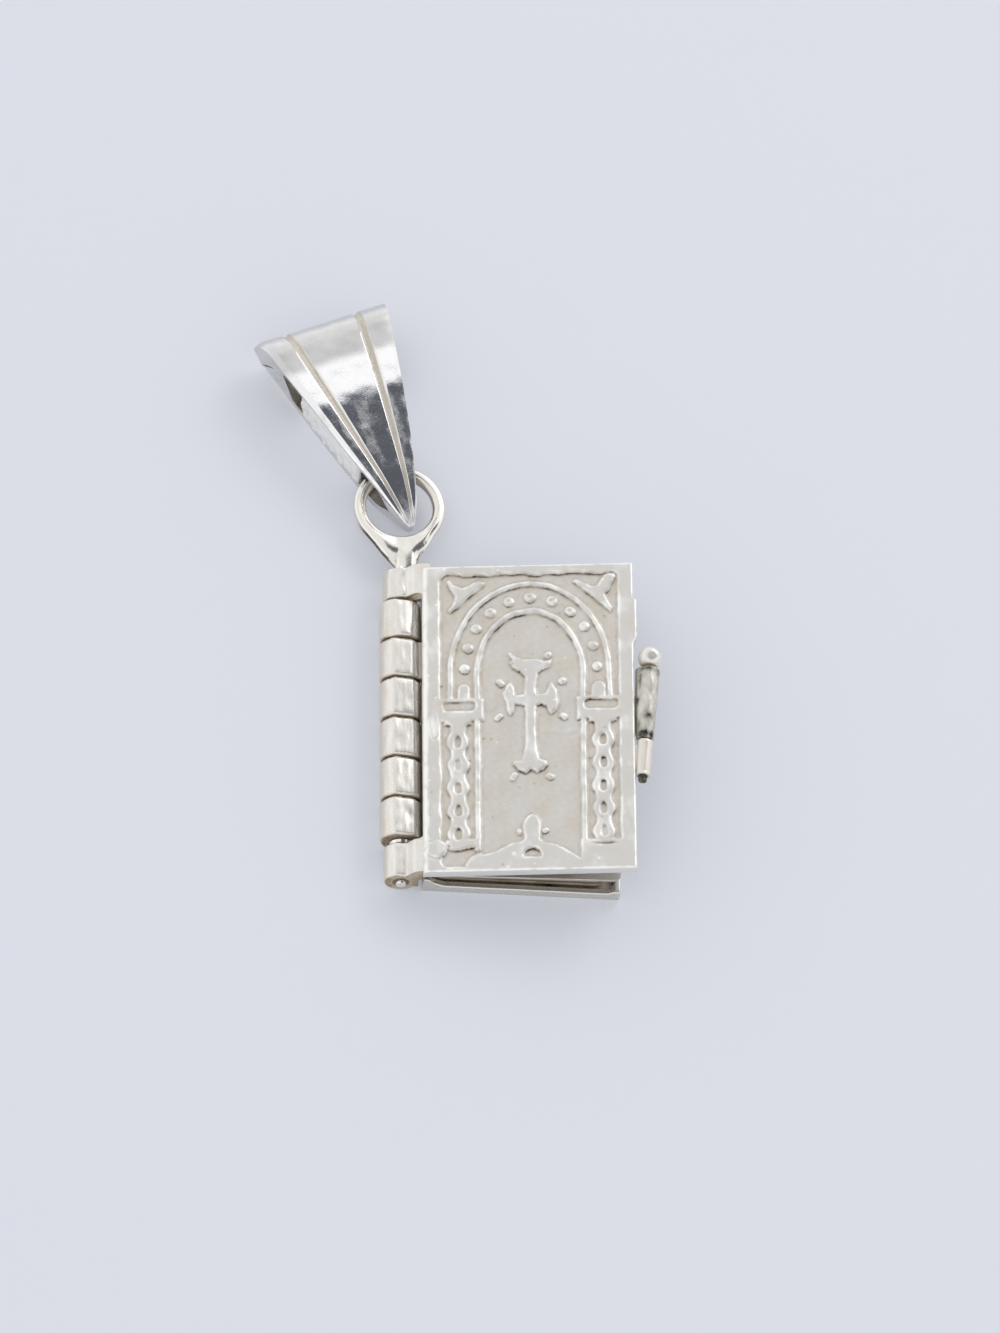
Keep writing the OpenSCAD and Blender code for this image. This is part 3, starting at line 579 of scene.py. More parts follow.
# Casting pits, and flecks that are rubbed bright
rng = np.random.default_rng(17)
for k in range(90):
    x, y, size = rng.uniform(-5.1, 5.1), rng.uniform(-8.5, 8.5), rng.uniform(0.03, 0.075)
    spot = np.exp(-((U - x) ** 2 + (V - y) ** 2) / size ** 2)
    if k % 3:
        top += 0.006 * spot
        cover_polish_and_highlight = np.clip(cover_polish_and_highlight + 0.6 * spot, 0, 1)
    else:
        top -= 0.012 * spot
        cover_tarnish = np.clip(cover_tarnish + 0.5 * spot, 0, 1)
# Old film on the wall beside the hinge
wall_film = np.repeat([0, 0, 0, 0.6], [len(us) - 1, len(vs) - 1] * 2)
cover = Form()
slab(cover, us + PLATE_MID, vs, top, PLATE_Z, 0.06, tarnish=cover_tarnish, polish=cover_polish_and_highlight,
     wall_tarnish=wall_film, wall_polish=0.75)
# The fore-edge stands out a little above the clasp
for part in cover.points:
    x, y = part[:, 0] - PLATE_MID, part[:, 1]
    part[:, 0] += 0.17 * smooth((x - 4.6) / 0.5) * smooth((y - 4.0) / 0.5) * smooth((6.6 - y) / 0.12)


# Hinge knuckles

SHARP = 46.0  # how sharply a filed flat meets the round


def barrel(form, radius, y0, y1, flats, seed, sink=None, rounding=0.12, n=96, arm=None, metal=0, dents=(),
           crust=0.0):
    """A hinge knuckle along Y round the pin, filed to flats given as angle, share of the radius, and lean
    along Y. Sink is the radius of a wider start of its bore. Arm joins its side to a wall. Dents are given as
    angle, y, size and depth. Crust is how far old dirt stands up into the gap above it."""
    theta = np.arange(n) / n * math.tau
    middle = (y0 + y1) / 2

    def reach(y):
        r = np.full(n, radius * 0.995) ** -SHARP
        for a, share, lean in flats:
            c = np.cos(theta - math.radians(a))
            flat = radius * (share + lean * (y - middle)) / np.maximum(c, 0.3)
            r = r + np.where(c > 0.3, flat ** -SHARP, 0)
        r = r ** (-1 / SHARP) * (1 + 0.009 * lumps(theta * radius * 2, np.full(n, y), 1.1, seed)
                                 + 0.005 * lumps(theta * 3, np.full(n, y * 2), 0.7, seed + 1))
        for a, dent_y, size, depth in dents:
            away = ((theta - math.radians(a)) * radius) ** 2 + (y - dent_y) ** 2
            r = r - depth * np.exp(-away / size ** 2)
        return r

    arc = np.radians([0, 15, 30, 45, 60, 75, 90])
    lower_edge = [(y0 + rounding * (1 - math.cos(t)), rounding * (1 - math.sin(t))) for t in arc]
    upper_edge = [(y1 - (y - y0), shrink) for y, shrink in reversed(lower_edge)]
    side = [(y, 0.0) for y in np.linspace(y0 + rounding, y1 - rounding, 9)[1:-1]]
    rows, tarnish = [], []
    for y, shrink in lower_edge + side + upper_edge:
        r = reach(y) - shrink * 0.9
        x, z, yy = r * np.cos(theta), r * np.sin(theta), np.full(n, y)
        if arm is not None:
            x, z, yy = arm(theta, x, z, yy, y)
        rows.append(np.stack([x, yy, np.maximum(AXIS_Z + z, 0.002)], 1))
        # Painted shade: each knuckle is darkened on its side toward the plate, and half as much on its left
        # side
        shaded_flank = smooth((np.cos(theta) - 0.75) / 0.2) + 0.5 * smooth((-np.cos(theta) - 0.6) / 0.3)
        tarnish.append(np.clip(0.8 * smooth(shrink / rounding * 0.8) + 0.7 * shaded_flank, 0, 1))
    start = [(y0, sink), (y0 + 0.25, sink), (y0 + 0.25, BORE_R)] if sink else [(y0, BORE_R)]
    inside = round_bar(start + [(y1, BORE_R)], n) + ON_PIN
    body = [inside[0]] + rows + [inside[-1]]
    marks = [np.full(n, 0.8)] + tarnish + [np.full(n, 0.8)]
    shine = 0.75 + 0.2 * lumps(theta[None] * 3, np.arange(len(body))[:, None] * 0.2, 1.4, seed + 5)
    form.skin(body, closed=True, tarnish=np.array(marks), polish=np.clip(shine, 0, 1), metal=metal)
    form.skin(inside, closed=True, tarnish=0.45, metal=metal)
    if crust:
        edge = rows[-1] - ON_PIN
        height = crust * (0.75 + 0.25 * lumps(theta * 3, np.full(n, y1), 1.0, seed + 7))
        ring = [np.stack([edge[:, 0] * k, y1 + height * up, AXIS_Z + edge[:, 2] * k], 1)
                for k, up in ((1.0, -0.3), (0.98, 0.6), (0.95, 1.0), (0.4, 1.0))]
        form.skin(ring, closed=True, tarnish=0.62, metal=metal)


def web_arm(y_in, side):
    """Turns the knuckle's right side into the wall that carries it, flared where it joins the plate."""
    knots = [(-40, 0.84, -0.72), (0, 0.86, 0.08), (9, 0.9, 0.15), (25, 1.36, 0.7), (31, 1.6, 0.86),
             (36, 1.6, 1.13), (45, 1.12, 1.14), (55, 0.75, 1.06), (68, 0.43, 0.93)]
    angles, wall_x, wall_z = np.transpose(knots)
    angles = np.radians(angles)

    def shape(theta, x, z, yy, y):
        t = np.where(theta > math.pi, theta - math.tau, theta)
        on = (t > angles[0]) & (t < angles[-1])
        amount = smooth((t - angles[0]) / 0.3) * smooth((angles[-1] - t) / 0.25)
        x = np.where(on, x + (np.interp(t, angles, wall_x) - x) * amount, x)
        z = np.where(on, z + (np.interp(t, angles, wall_z) - z) * amount, z)
        flare = 0.3 * smooth((x - 0.95) / 0.45) ** 1.5
        near_in = smooth(1 - abs(y - y_in) / 0.45)
        return x, z, yy + side * flare * near_in * on
    return shape


web = Form()
first_foot, last_head = KNUCKLE_TOPS[1] + KNUCKLE_GAP, KNUCKLE_TOPS[7] - WIDE_GAP
barrel(web, END_KNUCKLE_R, first_foot, KNUCKLE_TOPS[0], [(104, 0.92, 0.02), (150, 0.95, 0)], seed=11, n=160,
       arm=web_arm(first_foot, -1),
       dents=[(78, 8.3, 0.16, 0.09), (72, 7.93, 0.09, 0.06), (86, 7.9, 0.09, 0.06), (92, 8.62, 0.2, 0.04)])
barrel(web, END_KNUCKLE_R, KNUCKLE_TOPS[8] + KNUCKLE_GAP, last_head, [(76, 0.85, 0), (125, 0.94, 0)], seed=12,
       n=160, arm=web_arm(last_head, 1), sink=0.42)


# Clasp tube, soldered to the cover's fore-edge

CLASP_X, CLASP_Y, CLASP_Z, CLASP_LEAN = 12.2, -1.98, 2.03, math.radians(-4.3)
TUBE = [(-3.4, 0.25), (-3.4, 0.36), (-3.37, 0.395), (-3.32, 0.4), (-3.28, 0.375), (-3.23, 0.38),
        (-2.75, 0.395), (-2.1, 0.4), (-1.65, 0.41), (-1.5, 0.42), (-1.46, 0.4), (-1.46, 0.25)]  # y and radius


def clasp_place(points):
    """From the clasp's own frame, with its pin along Y, to its place beside the closed cover's fore-edge."""
    return spun(np.asarray(points, float) - [0, CLASP_Y, 0], CLASP_LEAN) + [CLASP_X, CLASP_Y, CLASP_Z]


tube = Form()
tube.skin(clasp_place(round_bar(TUBE, lump=0.02, seed=4)), closed=True, polish=0.35)
tube.skin(clasp_place(round_bar([TUBE[0], TUBE[-1]])), closed=True, tarnish=0.9)
bar(tube, [[11.64, 1.88], [11.85, 1.84], [11.85, 2.2], [11.64, 2.18]], -3.15, -1.68, 0.06, polish=0.5)

piece("cast_cover", cover, [cast_silver], "front", ["front_cover"], OPEN)
piece("cover_knuckles", web, [filed_silver], "front", ["front_cover"], OPEN)
piece("clasp_tube", tube, [filed_silver], "front", ["front_cover"], OPEN)


# Back cover: tray with its rim, two knuckles and the catch ledge

HOLLOW_X, HOLLOW_Y = 10.74, 8.105
xs = np.unique(np.concatenate([edge_spots(BACK_X0, BACK_X1, 0.05, 0.08, 0.12), np.arange(10.2, 10.6, 0.06),
                               np.arange(10.55, 10.85, 0.03)]))
rim_ys = np.concatenate([np.arange(7.6, 8.0, 0.08), np.arange(8.0, 8.2, 0.03)])
ys = np.unique(np.concatenate([edge_spots(-BACK_Y, BACK_Y, 0.08, 0.08, 0.15), rim_ys, -rim_ys]))
X, Y = np.meshgrid(xs, ys)
hollow = oblong(X, Y, 0.0, 0.0, 2 * HOLLOW_X, 2 * HOLLOW_Y, 0.45)
wall = smooth(0.5 + (hollow + 0.02) / 0.07)
# The rim rises toward the hinge at both ends, and is low along the lower end
by_hinge = smooth((np.where(Y < 0, 1.8, 2.65) - X) / np.where(Y < 0, 0.5, 1.3)) * (np.abs(Y) > 7.5)
lower_end = smooth((X - 1.7) / 0.6) * smooth((10.75 - X) / 0.35) * (Y < -7.5)
rim = RIM_H + 0.38 * by_hinge - 0.2 * lower_end + 0.012 * lumps(X, Y, 2.5, 21)
floor = FLOOR_T + 0.004 * lumps(X, Y, 3.0, 22)
fall = edge_drop(X - BACK_X0, 0.05) + edge_drop(BACK_X1 - X, 0.08) + edge_drop(BACK_Y - np.abs(Y), 0.08)
tray_top = floor + (rim - floor) * wall - np.minimum(fall, 0.12)
inner_film = (1 - wall) * np.clip(0.7 + 0.3 * lumps(X, Y, 1.8, 23), 0, 1)
tray = Form()
slab(tray, xs, ys, tray_top, 0.0, 0.08, tarnish=inner_film, polish=0.8 * wall, wall_polish=0.4)
# Flats, dents and crust of the two knuckles, by their number, which is 0 for the top one
TRAY_KNUCKLES = {1: ([(118, 0.9, 0.05), (84, 0.88, -0.04), (46, 0.94, 0)],
                     [(112, 6.45, 0.22, 0.06), (126, 5.6, 0.2, 0.05), (60, 5.4, 0.2, 0.05)], 0),
                 6: ([(81, 0.83, 0), (132, 0.95, 0.02), (50, 0.95, 0)], [(64, -5.2, 0.2, 0.05)], 0.11)}
for i, (flats, dents, crust) in TRAY_KNUCKLES.items():
    y0, y1 = KNUCKLE_TOPS[i + 1] + KNUCKLE_GAP, KNUCKLE_TOPS[i]
    barrel(tray, KNUCKLE_R, y0, y1, flats, rounding=0.16, seed=30 + i, metal=1, dents=dents, crust=crust)
    bar(tray, box(0.46, 1.6, 0.03, 0.37), y0, y1, 0.04, tarnish=0.2)
bar(tray, box(10.96, 11.38, 0.52, 0.8), -0.2, 2.0, 0.05, polish=0.6)
piece("back_tray", tray, [sheet_silver, filed_silver], "back", ["back_cover"])


# Leaves, of which the first is the widest and the highest

LEAF_FLATS = {1: [(82, 0.84, 0.0), (134, 0.95, 0.0), (50, 0.95, 0)],
              2: [(80, 0.84, 0.02), (131, 0.95, 0.0), (52, 0.96, 0)],
              3: [(82, 0.83, 0.0), (132, 0.955, 0.0), (48, 0.95, 0)],
              4: [(80, 0.83, 0.0), (130, 0.95, 0.02), (50, 0.95, 0)]}
LEAF_REST = {1: 2.5, 2: 1.8, 3: 1.1, 4: 0.5}  # degrees that each stands open
CORNER = 0.45
for n in (1, 2, 3, 4):
    z = LEAF_Z + (4 - n) * LEAF_PITCH
    x1, y1 = (10.95, 8.345) if n == 1 else (10.18, 7.965)
    xs = edge_spots(LEAF_X0, x1, 0.04, 0.04, 0.18)
    ys = edge_spots(-y1, y1, 0.04, 0.04, 0.2)
    X, Y = np.meshgrid(xs, ys)
    fall = edge_drop(X - LEAF_X0, 0.04) + edge_drop(x1 - X, 0.04) + edge_drop(y1 - np.abs(Y), 0.04)
    leaf_top = z + LEAF_T + 0.012 * lumps(X, Y, 4.0, 40 + n) - np.minimum(fall, 0.05)
    near_edge = smooth(1 - np.minimum(x1 - X, y1 - np.abs(Y)) / 1.4)
    film_and_shade = (0.1 if n == 1 else 0.3) + 0.4 * near_edge * (n > 1) + 0.25 * lumps(X, Y, 2.2, 50 + n)
    leaf = Form()
    slab(leaf, xs, ys, leaf_top, z, 0.03, tarnish=np.clip(film_and_shade, 0, 1), polish=0.2,
         wall_tarnish=0.4 if n == 1 else 0.35)
    # The fore-edge corners are rounded
    for part in leaf.points:
        x, y = part[:, 0].copy(), part[:, 1].copy()
        qx, qy = np.maximum(x - x1 + CORNER, 0), np.maximum(np.abs(y) - y1 + CORNER, 0)
        far = np.hypot(qx, qy)
        pull = np.where((qx > 0) & (qy > 0) & (far > CORNER), CORNER / np.maximum(far, 0.01), 1)
        part[:, 0] = np.where(pull < 1, x1 - CORNER + qx * pull, x)
        part[:, 1] = np.where(pull < 1, np.sign(y) * (y1 - CORNER + qy * pull), y)
    low, high = KNUCKLE_TOPS[n + 2] + KNUCKLE_GAP, KNUCKLE_TOPS[n + 1]
    barrel(leaf, KNUCKLE_R, low, high, LEAF_FLATS[n], rounding=0.16, seed=60 + n, metal=1, crust=0.11)
    bar(leaf, box(0.46, 1.78, z, z + 0.17), low + 0.02, high - 0.02, 0.03, tarnish=0.2, metal=1)
    piece(f"leaf_sheet_{n}", leaf, [sheet_silver if n == 1 else leaf_silver, filed_silver], f"leaf_{n}",
          [f"leaf_{n}"], math.radians(LEAF_REST[n]))


# Hinge pin with its flat eye

PIN = [(-8.69, 0.21), (-8.67, 0.25), (-8.62, 0.27), (-8.4, 0.27), (-6.9, 0.255), (-6.3, 0.26), (0, 0.26),
       (8.9, 0.26), (9.3, 0.25)]  # y and radius
# A burr stands on the pin in the widest gap, between the last two knuckles
BURR = [(-6.6, 0.25), (-6.59, 0.5), (-6.55, 0.58), (-6.4, 0.6), (-6.35, 0.55), (-6.33, 0.25)]
EYE_Y, EYE_R, EYE_HOLE, EYE_T = 12.78, 2.33, 1.70, 0.58
NECK = [(-1.7, 11.18), (-1.35, 10.74), (-0.83, 10.03), (-0.3, 9.4), (-0.1, 9.2), (-0.1, 9.04), (0.84, 9.04),
        (0.87, 9.5), (0.98, 9.95), (1.42, 10.5), (1.8, 11.3)]
pin = Form()
pin.lid(round_bar(PIN, 32) + ON_PIN, polish=0.9)
pin.lid(round_bar(BURR, 32) + ON_PIN, polish=1.0)


def eye_reach(angle):
    """Outer radius of the eye from its centre, with the neck as part of it: the farthest place where a ray
    from the centre meets a side of the neck."""
    ray_x, ray_y = math.cos(angle), math.sin(angle)
    farthest = EYE_R
    for a, b in zip(NECK[:-1], NECK[1:]):
        a, b = np.array(a) - (0, EYE_Y), np.array(b) - (0, EYE_Y)
        side = b - a
        turn = ray_y * side[0] - ray_x * side[1]
        if abs(turn) > 1e-9:
            along_ray = (a[1] * side[0] - a[0] * side[1]) / turn
            along_side = (ray_x * a[1] - ray_y * a[0]) / turn
            if -0.001 <= along_side <= 1.001 and along_ray > 0:
                farthest = max(farthest, along_ray)
    return farthest


degrees = [np.linspace(-180, -120, 31), np.linspace(-120, -60, 121), np.linspace(-60, 180, 121)]
degrees = np.unique(np.concatenate(degrees))[:-1]
reach = np.array([eye_reach(math.radians(p)) for p in degrees])
for _ in range(3):
    reach = (np.roll(reach, 1) + reach * 2 + np.roll(reach, -1)) / 4
angles = np.radians(degrees)
# Round the ring's section: inner wall, top, outer wall, underside. Each entry has its height, and how far it
# is from the inner or the outer edge, or which share of the way between them.
half, r = EYE_T / 2, 0.23
corner = [(r * (1 - math.cos(a)), half - r + r * math.sin(a)) for a in np.radians(np.arange(0, 91, 15))]
ring = [("in", d, z) for d, z in corner]
ring += [("mid", k, half + 0.06 * math.sin(k * math.pi)) for k in (0.15, 0.32, 0.5, 0.68, 0.85)]
ring += [("out", d, z) for d, z in reversed(corner)] + [("out", 0, 0.0)] + [("out", d, -z) for d, z in corner]
ring += [("mid", k, -half) for k in (0.7, 0.3)]
ring += [("in", d, -z) for d, z in reversed(corner)] + [("in", 0, 0.0)]
rows, film_and_shade, shine = [], [], []
for kind, d, z in ring:
    if kind == "in":
        radius = np.full(len(angles), EYE_HOLE + d)
    elif kind == "out":
        radius = reach - d
    else:
        radius = EYE_HOLE + r + (reach - EYE_HOLE - 2 * r) * d
    height = z * (1 - 0.1 * smooth((reach - 2.6) / 1.0))
    if z > 0.2:
        height = height + 0.012 * lumps(angles * 2.2, np.full(len(angles), d), 1.3, 71)
    # The neck is round across
    if abs(z) > 0.15:
        aside = np.clip(np.abs(radius * np.cos(angles) - 0.37) / 0.5, 0, 1)
        height = height - np.sign(z) * 0.17 * aside ** 2.5 * smooth((radius - 2.55) / 0.6)
    rows.append(np.stack([radius * np.cos(angles), EYE_Y + radius * np.sin(angles), AXIS_Z + height], 1))
    # Brown sulphide in the opening, and painted shade, nearly black, under the outer wall at the lower left
    in_hole = kind == "in" and d < 0.06
    shaded_lower_left = (np.clip(1 - np.abs(angles + 2.1) / 0.75, 0, 1)
                  + 0.12 * np.clip(1 - np.abs(angles + 0.75) / 0.5, 0, 1))
    film_and_shade.append(0.45 * in_hole + smooth(shaded_lower_left * 1.5) * (kind == "out" and z < 0.12))
    shine.append(np.full(len(angles), 0.1 if in_hole else 0.7))
pin.skin(rows + rows[:1], closed=True, tarnish=np.array(film_and_shade + film_and_shade[:1]), polish=np.array(shine + shine[:1]))
piece("hinge_pin_and_eye", pin, [wire_silver], "back", ["hinge_pin"])


# Bail: one strip, ribbed by two grooves, folded round and closed at its tip

BEND_V, BEND_R, STRIP, BACK_SHARE = 10.75, 1.45, 0.32, 0.84
BAIL_LINE = [(0.0, 1.35), (1.075, 1.9), (2.47, 2.32), (4.84, 2.59), (7.3, 2.835), (BEND_V, 2 * BEND_R)]
BAIL_X, BAIL_Y, BAIL_TURN = 0.6, 11.6, math.radians(23.4)
ACROSS, INSIDE = 121, 17  # points across the strip's outer and inner face
FRONT_END = 95  # station round the bend where the front's grooves end
SIDE_V0, SIDE_V1 = 3.75, 8.4


def bail_front(v):
    """Height of the bowed front panel."""
    reach = min(0.4, v, BEND_V - v)
    return float(np.interp(np.linspace(v - reach, v + reach, 17), *zip(*BAIL_LINE)).mean())


def bail_half(v):
    """Half the strip's width."""
    return 0.14 + 3.38 * (max(v, 0) / 11.8) ** 0.78


def closing(v):
    """1 at the tip, where the strip's two legs meet, and 0 past it."""
    return 1 - float(smooth((v - 0.9) / 1.3))


def bail_place(points):
    """From the bail's own frame, with its tip at the start and Y along it, to its place in the eye."""
    p = spun(points, BAIL_TURN) + [BAIL_X, BAIL_Y, 0]
    p[..., 2] = np.maximum(p[..., 2], 0)
    return p


TIP_V = [0.0, 0.12, 0.3]
stations = []  # outer v and z, inner v and z, share of the front's width
for v in TIP_V + np.linspace(0.55, BEND_V, 70).tolist():
    z = bail_front(v)
    stations.append((v, z, v, (z - STRIP) * (1 - closing(v)) + 1.06 * closing(v), 1.0))
for a in np.radians(np.linspace(0, 180, 41)[1:]):
    s, c = math.sin(a), math.cos(a)
    share = 1 - (1 - BACK_SHARE) * float(smooth((a - 1.0) / 2.1))
    stations.append((BEND_V + BEND_R * s, BEND_R + BEND_R * c,
                     BEND_V + (BEND_R - STRIP) * s, BEND_R + (BEND_R - STRIP) * c, share))
for v in np.linspace(BEND_V, 0.55, 30)[1:].tolist() + TIP_V[::-1]:
    z = 0.75 * max(0.0, (2.5 - v) / 2.5)
    stations.append((v, z, v, (z + STRIP) * (1 - closing(v)) + 1.04 * closing(v), BACK_SHARE))

across = np.linspace(-1, 1, ACROSS)
side_of = np.abs(across)
inset = np.linspace(1, -1, INSIDE)
rows, film_and_shade, shine = [], [], []
for i, (v, z, iv, iz, share) in enumerate(stations):
    half_w = bail_half(v) * share
    place, level = across * half_w, np.full(ACROSS, v)
    ahead, behind = stations[min(i + 1, len(stations) - 1)], stations[max(i - 1, 0)]
    tangent = np.array([ahead[0] - behind[0], ahead[1] - behind[1]])
    tangent /= max(np.linalg.norm(tangent), 1e-9)
    split = 0.5 + 0.05 * float(smooth(v / 10))
    fade = float(smooth((v - 0.2) / 1.0)) * (i < FRONT_END)
    width = min(0.05 + 0.13 * float(smooth(v / 9)), 0.2 * half_w)
    groove = smooth(0.5 + (width - np.abs(side_of - split) * half_w) / 0.09) * fade
    rib = np.clip((side_of - split) / (1 - split), 0, 1)
    bevel = np.where(across < 0, 0.12, 0.02) * np.clip((side_of - 0.88) / 0.12, 0, 1) ** 1.4
    crown = np.where(across < 0, 0.02, 0.005) * np.sin(rib * math.pi)
    height = (crown - bevel - 0.015 * (side_of < split)) * min(1.0, half_w / 1.2) * fade - 0.1 * groove
    height = height + 0.005 * lumps(place, level, 1.6, 91) + 0.0026 * lumps(place, level, 0.55, 92)
    outer = np.stack([place, v - tangent[1] * height, z + tangent[0] * height], 1)
    # The strip is thicker along its edges round the bend
    lip = 0.8 * smooth((np.abs(inset) - 0.8) / 0.1) * float(smooth((v - 9.4) / 0.5))
    inner_v, inner_z = iv + lip * (BEND_V - iv) / 1.2, iz + lip * (BEND_R - iz) / 1.2
    inner = np.stack([inset * (half_w - 0.03), inner_v, inner_z], 1)
    rows.append(np.concatenate([outer, inner]))
    # The grooves hold old sulphide, the inner face in the hollow before the bend is painted nearly black as
    # shade, and the front is worn in streaks
    satin = float(smooth((v - 9.1) / 0.7)) if i < FRONT_END else 0.6
    hollow = math.exp(-((v - 9.0) / 0.7) ** 2)
    film_and_shade.append(np.concatenate([0.5 * groove, np.full(INSIDE, 0.1 + 0.85 * hollow)]))
    streaks = 0.7 * lumps(place, level * 0.5, 1.3, 93) + 0.4 * lumps(place, level * 0.8, 0.5, 94)
    worn = 0.5 * smooth(0.25 + streaks) * float(smooth((7.2 - v) / 0.8))
    shine.append(np.concatenate([np.clip(1 - 0.7 * satin - groove - worn, 0, 1), np.full(INSIDE, 0.4)]))
bail = Form()
bail.lid(bail_place(rows), tarnish=np.array(film_and_shade), polish=np.array(shine))

# Its sides are turned down between the two legs
t = np.linspace(0, 1, 13)
for s in (-1, 1):
    rows = []
    for v in np.linspace(SIDE_V0, SIDE_V1, 65):
        high, low = bail_front(v) - STRIP / 2, 0.1
        share = 1 + (BACK_SHARE - 1) * (t * (high - low) + 2.9 - high) / 2.8
        end = max(0.0, 1 - min(v - SIDE_V0, SIDE_V1 - v) / 0.12)
        level = np.full(len(t), v)
        dents = 0.04 * lumps(level * 1.3, t * 2.2, 0.8, 95 + s) + 0.035 * lumps(level, t * 3, 0.4, 97 + s)
        x = (bail_half(v) * share - 0.05 + np.minimum(dents, 0.04) + 0.08 * np.sin(t * math.pi)
             - 0.08 * end ** 2)
        z = high + (low - high) * t
        outer = np.stack([s * x, level, z], 1)
        inner = np.stack([s * (x[::-1] - 0.3 + 0.16 * end ** 2), level, z[::-1]], 1)
        rows.append(np.concatenate([outer, inner]))
    bail.lid(bail_place(rows), polish=0.9, metal=1)
piece("ribbed_bail", bail, [bail_silver, crimped_silver], "bail", ["bail"], crease=50)


# Clasp: ball-headed pin and the hasp that turns on it

CLASP_PIN = [(-3.7, 0.16), (-3.69, 0.2), (-3.65, 0.21), (-3.3, 0.21), (2.75, 0.21), (3.05, 0.2)]
BALL_R, BALL_PLACE, BALL_SHARP = 0.6, (-0.05, 3.27, 0), 18.0
FACETS = [((0.22, -0.1, 0.94), 0.88), ((-0.35, -0.8, 0.5), 0.92), ((0.6, -0.65, 0.45), 0.92),
          ((-0.8, 0.1, 0.4), 0.95)]  # way that each faces, and its share of the radius
theta = np.arange(64) / 64 * math.tau
rows, film_and_shade = [], []
for a in np.radians(np.linspace(-88, 88, 41)):
    d = np.stack([math.cos(a) * np.cos(theta), np.full(64, math.sin(a)), math.cos(a) * np.sin(theta)], 1)
    r = np.full(64, BALL_R) ** -BALL_SHARP
    for way, share in FACETS:
        c = d @ (np.array(way) / np.linalg.norm(way))
        r = r + np.where(c > 0.4, (BALL_R * share / np.maximum(c, 0.4)) ** -BALL_SHARP, 0)
    rows.append(d * (r ** (-1 / BALL_SHARP))[:, None] + BALL_PLACE)
    # Painted shadow: the ball is darkened on its underside, toward the hasp
    film_and_shade.append(np.full(64, float(smooth((-0.66 - math.sin(a)) / 0.2))))
knob = Form()
# Painted dark reflection: the pin is set near black, where its end shows below the tube
knob.lid(clasp_place(round_bar(CLASP_PIN)), tarnish=0.92)
knob.lid(clasp_place(rows), polish=0.8, tarnish=np.array(film_and_shade), metal=1)
piece("clasp_ball_pin", knob, [hasp_silver, filed_silver], "front", ["clasp_pin"], OPEN)

HASP_Y0, HASP_Y1, HASP_BORE, HASP_SWING = -1.38, 2.65, 0.27, math.radians(11)
# Blots on the hasp's knuckle: y, angle, length, width and strength
BLOTS = [(0.74, 136, 0.2, 14, 1), (-0.2, 62, 0.2, 30, 0.9), (-1.2, 92, 0.24, 42, 1.4),
         (-1.2, 30, 0.22, 16, 1.4), (-0.65, 125, 0.3, 14, 0.8), (2.5, 85, 0.14, 50, 0.9),
         (1.9, 120, 0.5, 12, 0.6), (2.3, 20, 0.2, 16, 0.5), (0.1, 80, 0.3, 10, 0.3)]
profile = [(HASP_Y0, HASP_BORE), (HASP_Y0, 0.38), (-1.35, 0.41), (-1.28, 0.42)]
profile += [(y, 0.42 + 0.07 * (y + 1.2) / 3.6) for y in np.linspace(-1.2, 2.42, 46)]
profile += [(2.51, 0.48), (2.6, 0.46), (HASP_Y1, 0.41), (HASP_Y1, HASP_BORE)]
rows = round_bar(profile, n=72, lump=0.03, seed=83)
point_y, point_a = np.meshgrid([y for y, r in profile], np.arange(72) * 5.0, indexing="ij")
# The knuckle is fuller on the side of the book
fuller = (0.07 + 0.056 * (point_y + 1)) * np.clip(-np.cos(np.radians(point_a)), 0, 1) ** 0.7
rows[..., 0] -= fuller * smooth((point_y + 1.39) / 0.05) * smooth((2.66 - point_y) / 0.05)
mottle = (0.12 + 0.15 * lumps(point_a * 0.01, point_y, 0.9, 85)
          + 0.1 * lumps(point_a * 0.015, point_y, 0.35, 86))
for y, a, length, width, strength in BLOTS:
    mottle = mottle + strength * np.exp(-((point_y - y) / length) ** 2 - ((point_a - a) / width) ** 2)
hasp = Form()
hasp.skin(rows, closed=True, tarnish=np.clip(mottle, 0, 1), polish=0.4)
hasp.skin(round_bar([profile[0], profile[-1]], n=72), closed=True, tarnish=0.9)
bar(hasp, [[-1.22, -1.89], [-0.18, -1.89], [-0.18, -0.2], [-0.42, -0.02], [-0.42, -1.65], [-1.22, -1.65]],
    -0.1, 2.1, 0.05, tarnish=0.15, polish=0.4)
hasp.points = [clasp_place(spun(part, HASP_SWING, 0, 2)) for part in hasp.points]
piece("mottled_hasp", hasp, [hasp_silver], "hasp", ["clasp_hasp"], OPEN)


# Table, light and camera

TABLE = 0.6  # half its width, in metres
GLOW = 0.3  # share of its brightness that comes from below
table_mesh = bpy.data.meshes.new("table_top")
table_mesh.from_pydata([(-TABLE, -TABLE, 0), (TABLE, -TABLE, 0), (TABLE, TABLE, 0), (-TABLE, TABLE, 0)], [],
                       [(0, 1, 2, 3)])
table = bpy.data.objects.new("table_top", table_mesh)
bpy.context.scene.collection.objects.link(table)
# Matt white acrylic sheet over a lamp box: it shines a little through, so that shadows on it stay pale
acrylic = bpy.data.materials.new("white_matt_acrylic")
acrylic.use_nodes = True
shader = acrylic.node_tree.nodes["Principled BSDF"]
shader.inputs["Base Color"].default_value = [c * (1 - GLOW) for c in linear("#DFE2EB")[:3]] + [1.0]
shader.inputs["Emission Color"].default_value = linear("#D8DBE4")
shader.inputs["Emission Strength"].default_value = GLOW
shader.inputs["Roughness"].default_value = 0.7
table_mesh.materials.append(acrylic)

world = bpy.data.worlds.new("soft_studio")
bpy.context.scene.world = world
world.use_nodes = True
tree = world.node_tree
tree.nodes.clear()
way = add(tree, "ShaderNodeTexCoord").outputs["Generated"]
sky_height = add(tree, "ShaderNodeSeparateXYZ", {0: way}).outputs["Z"]


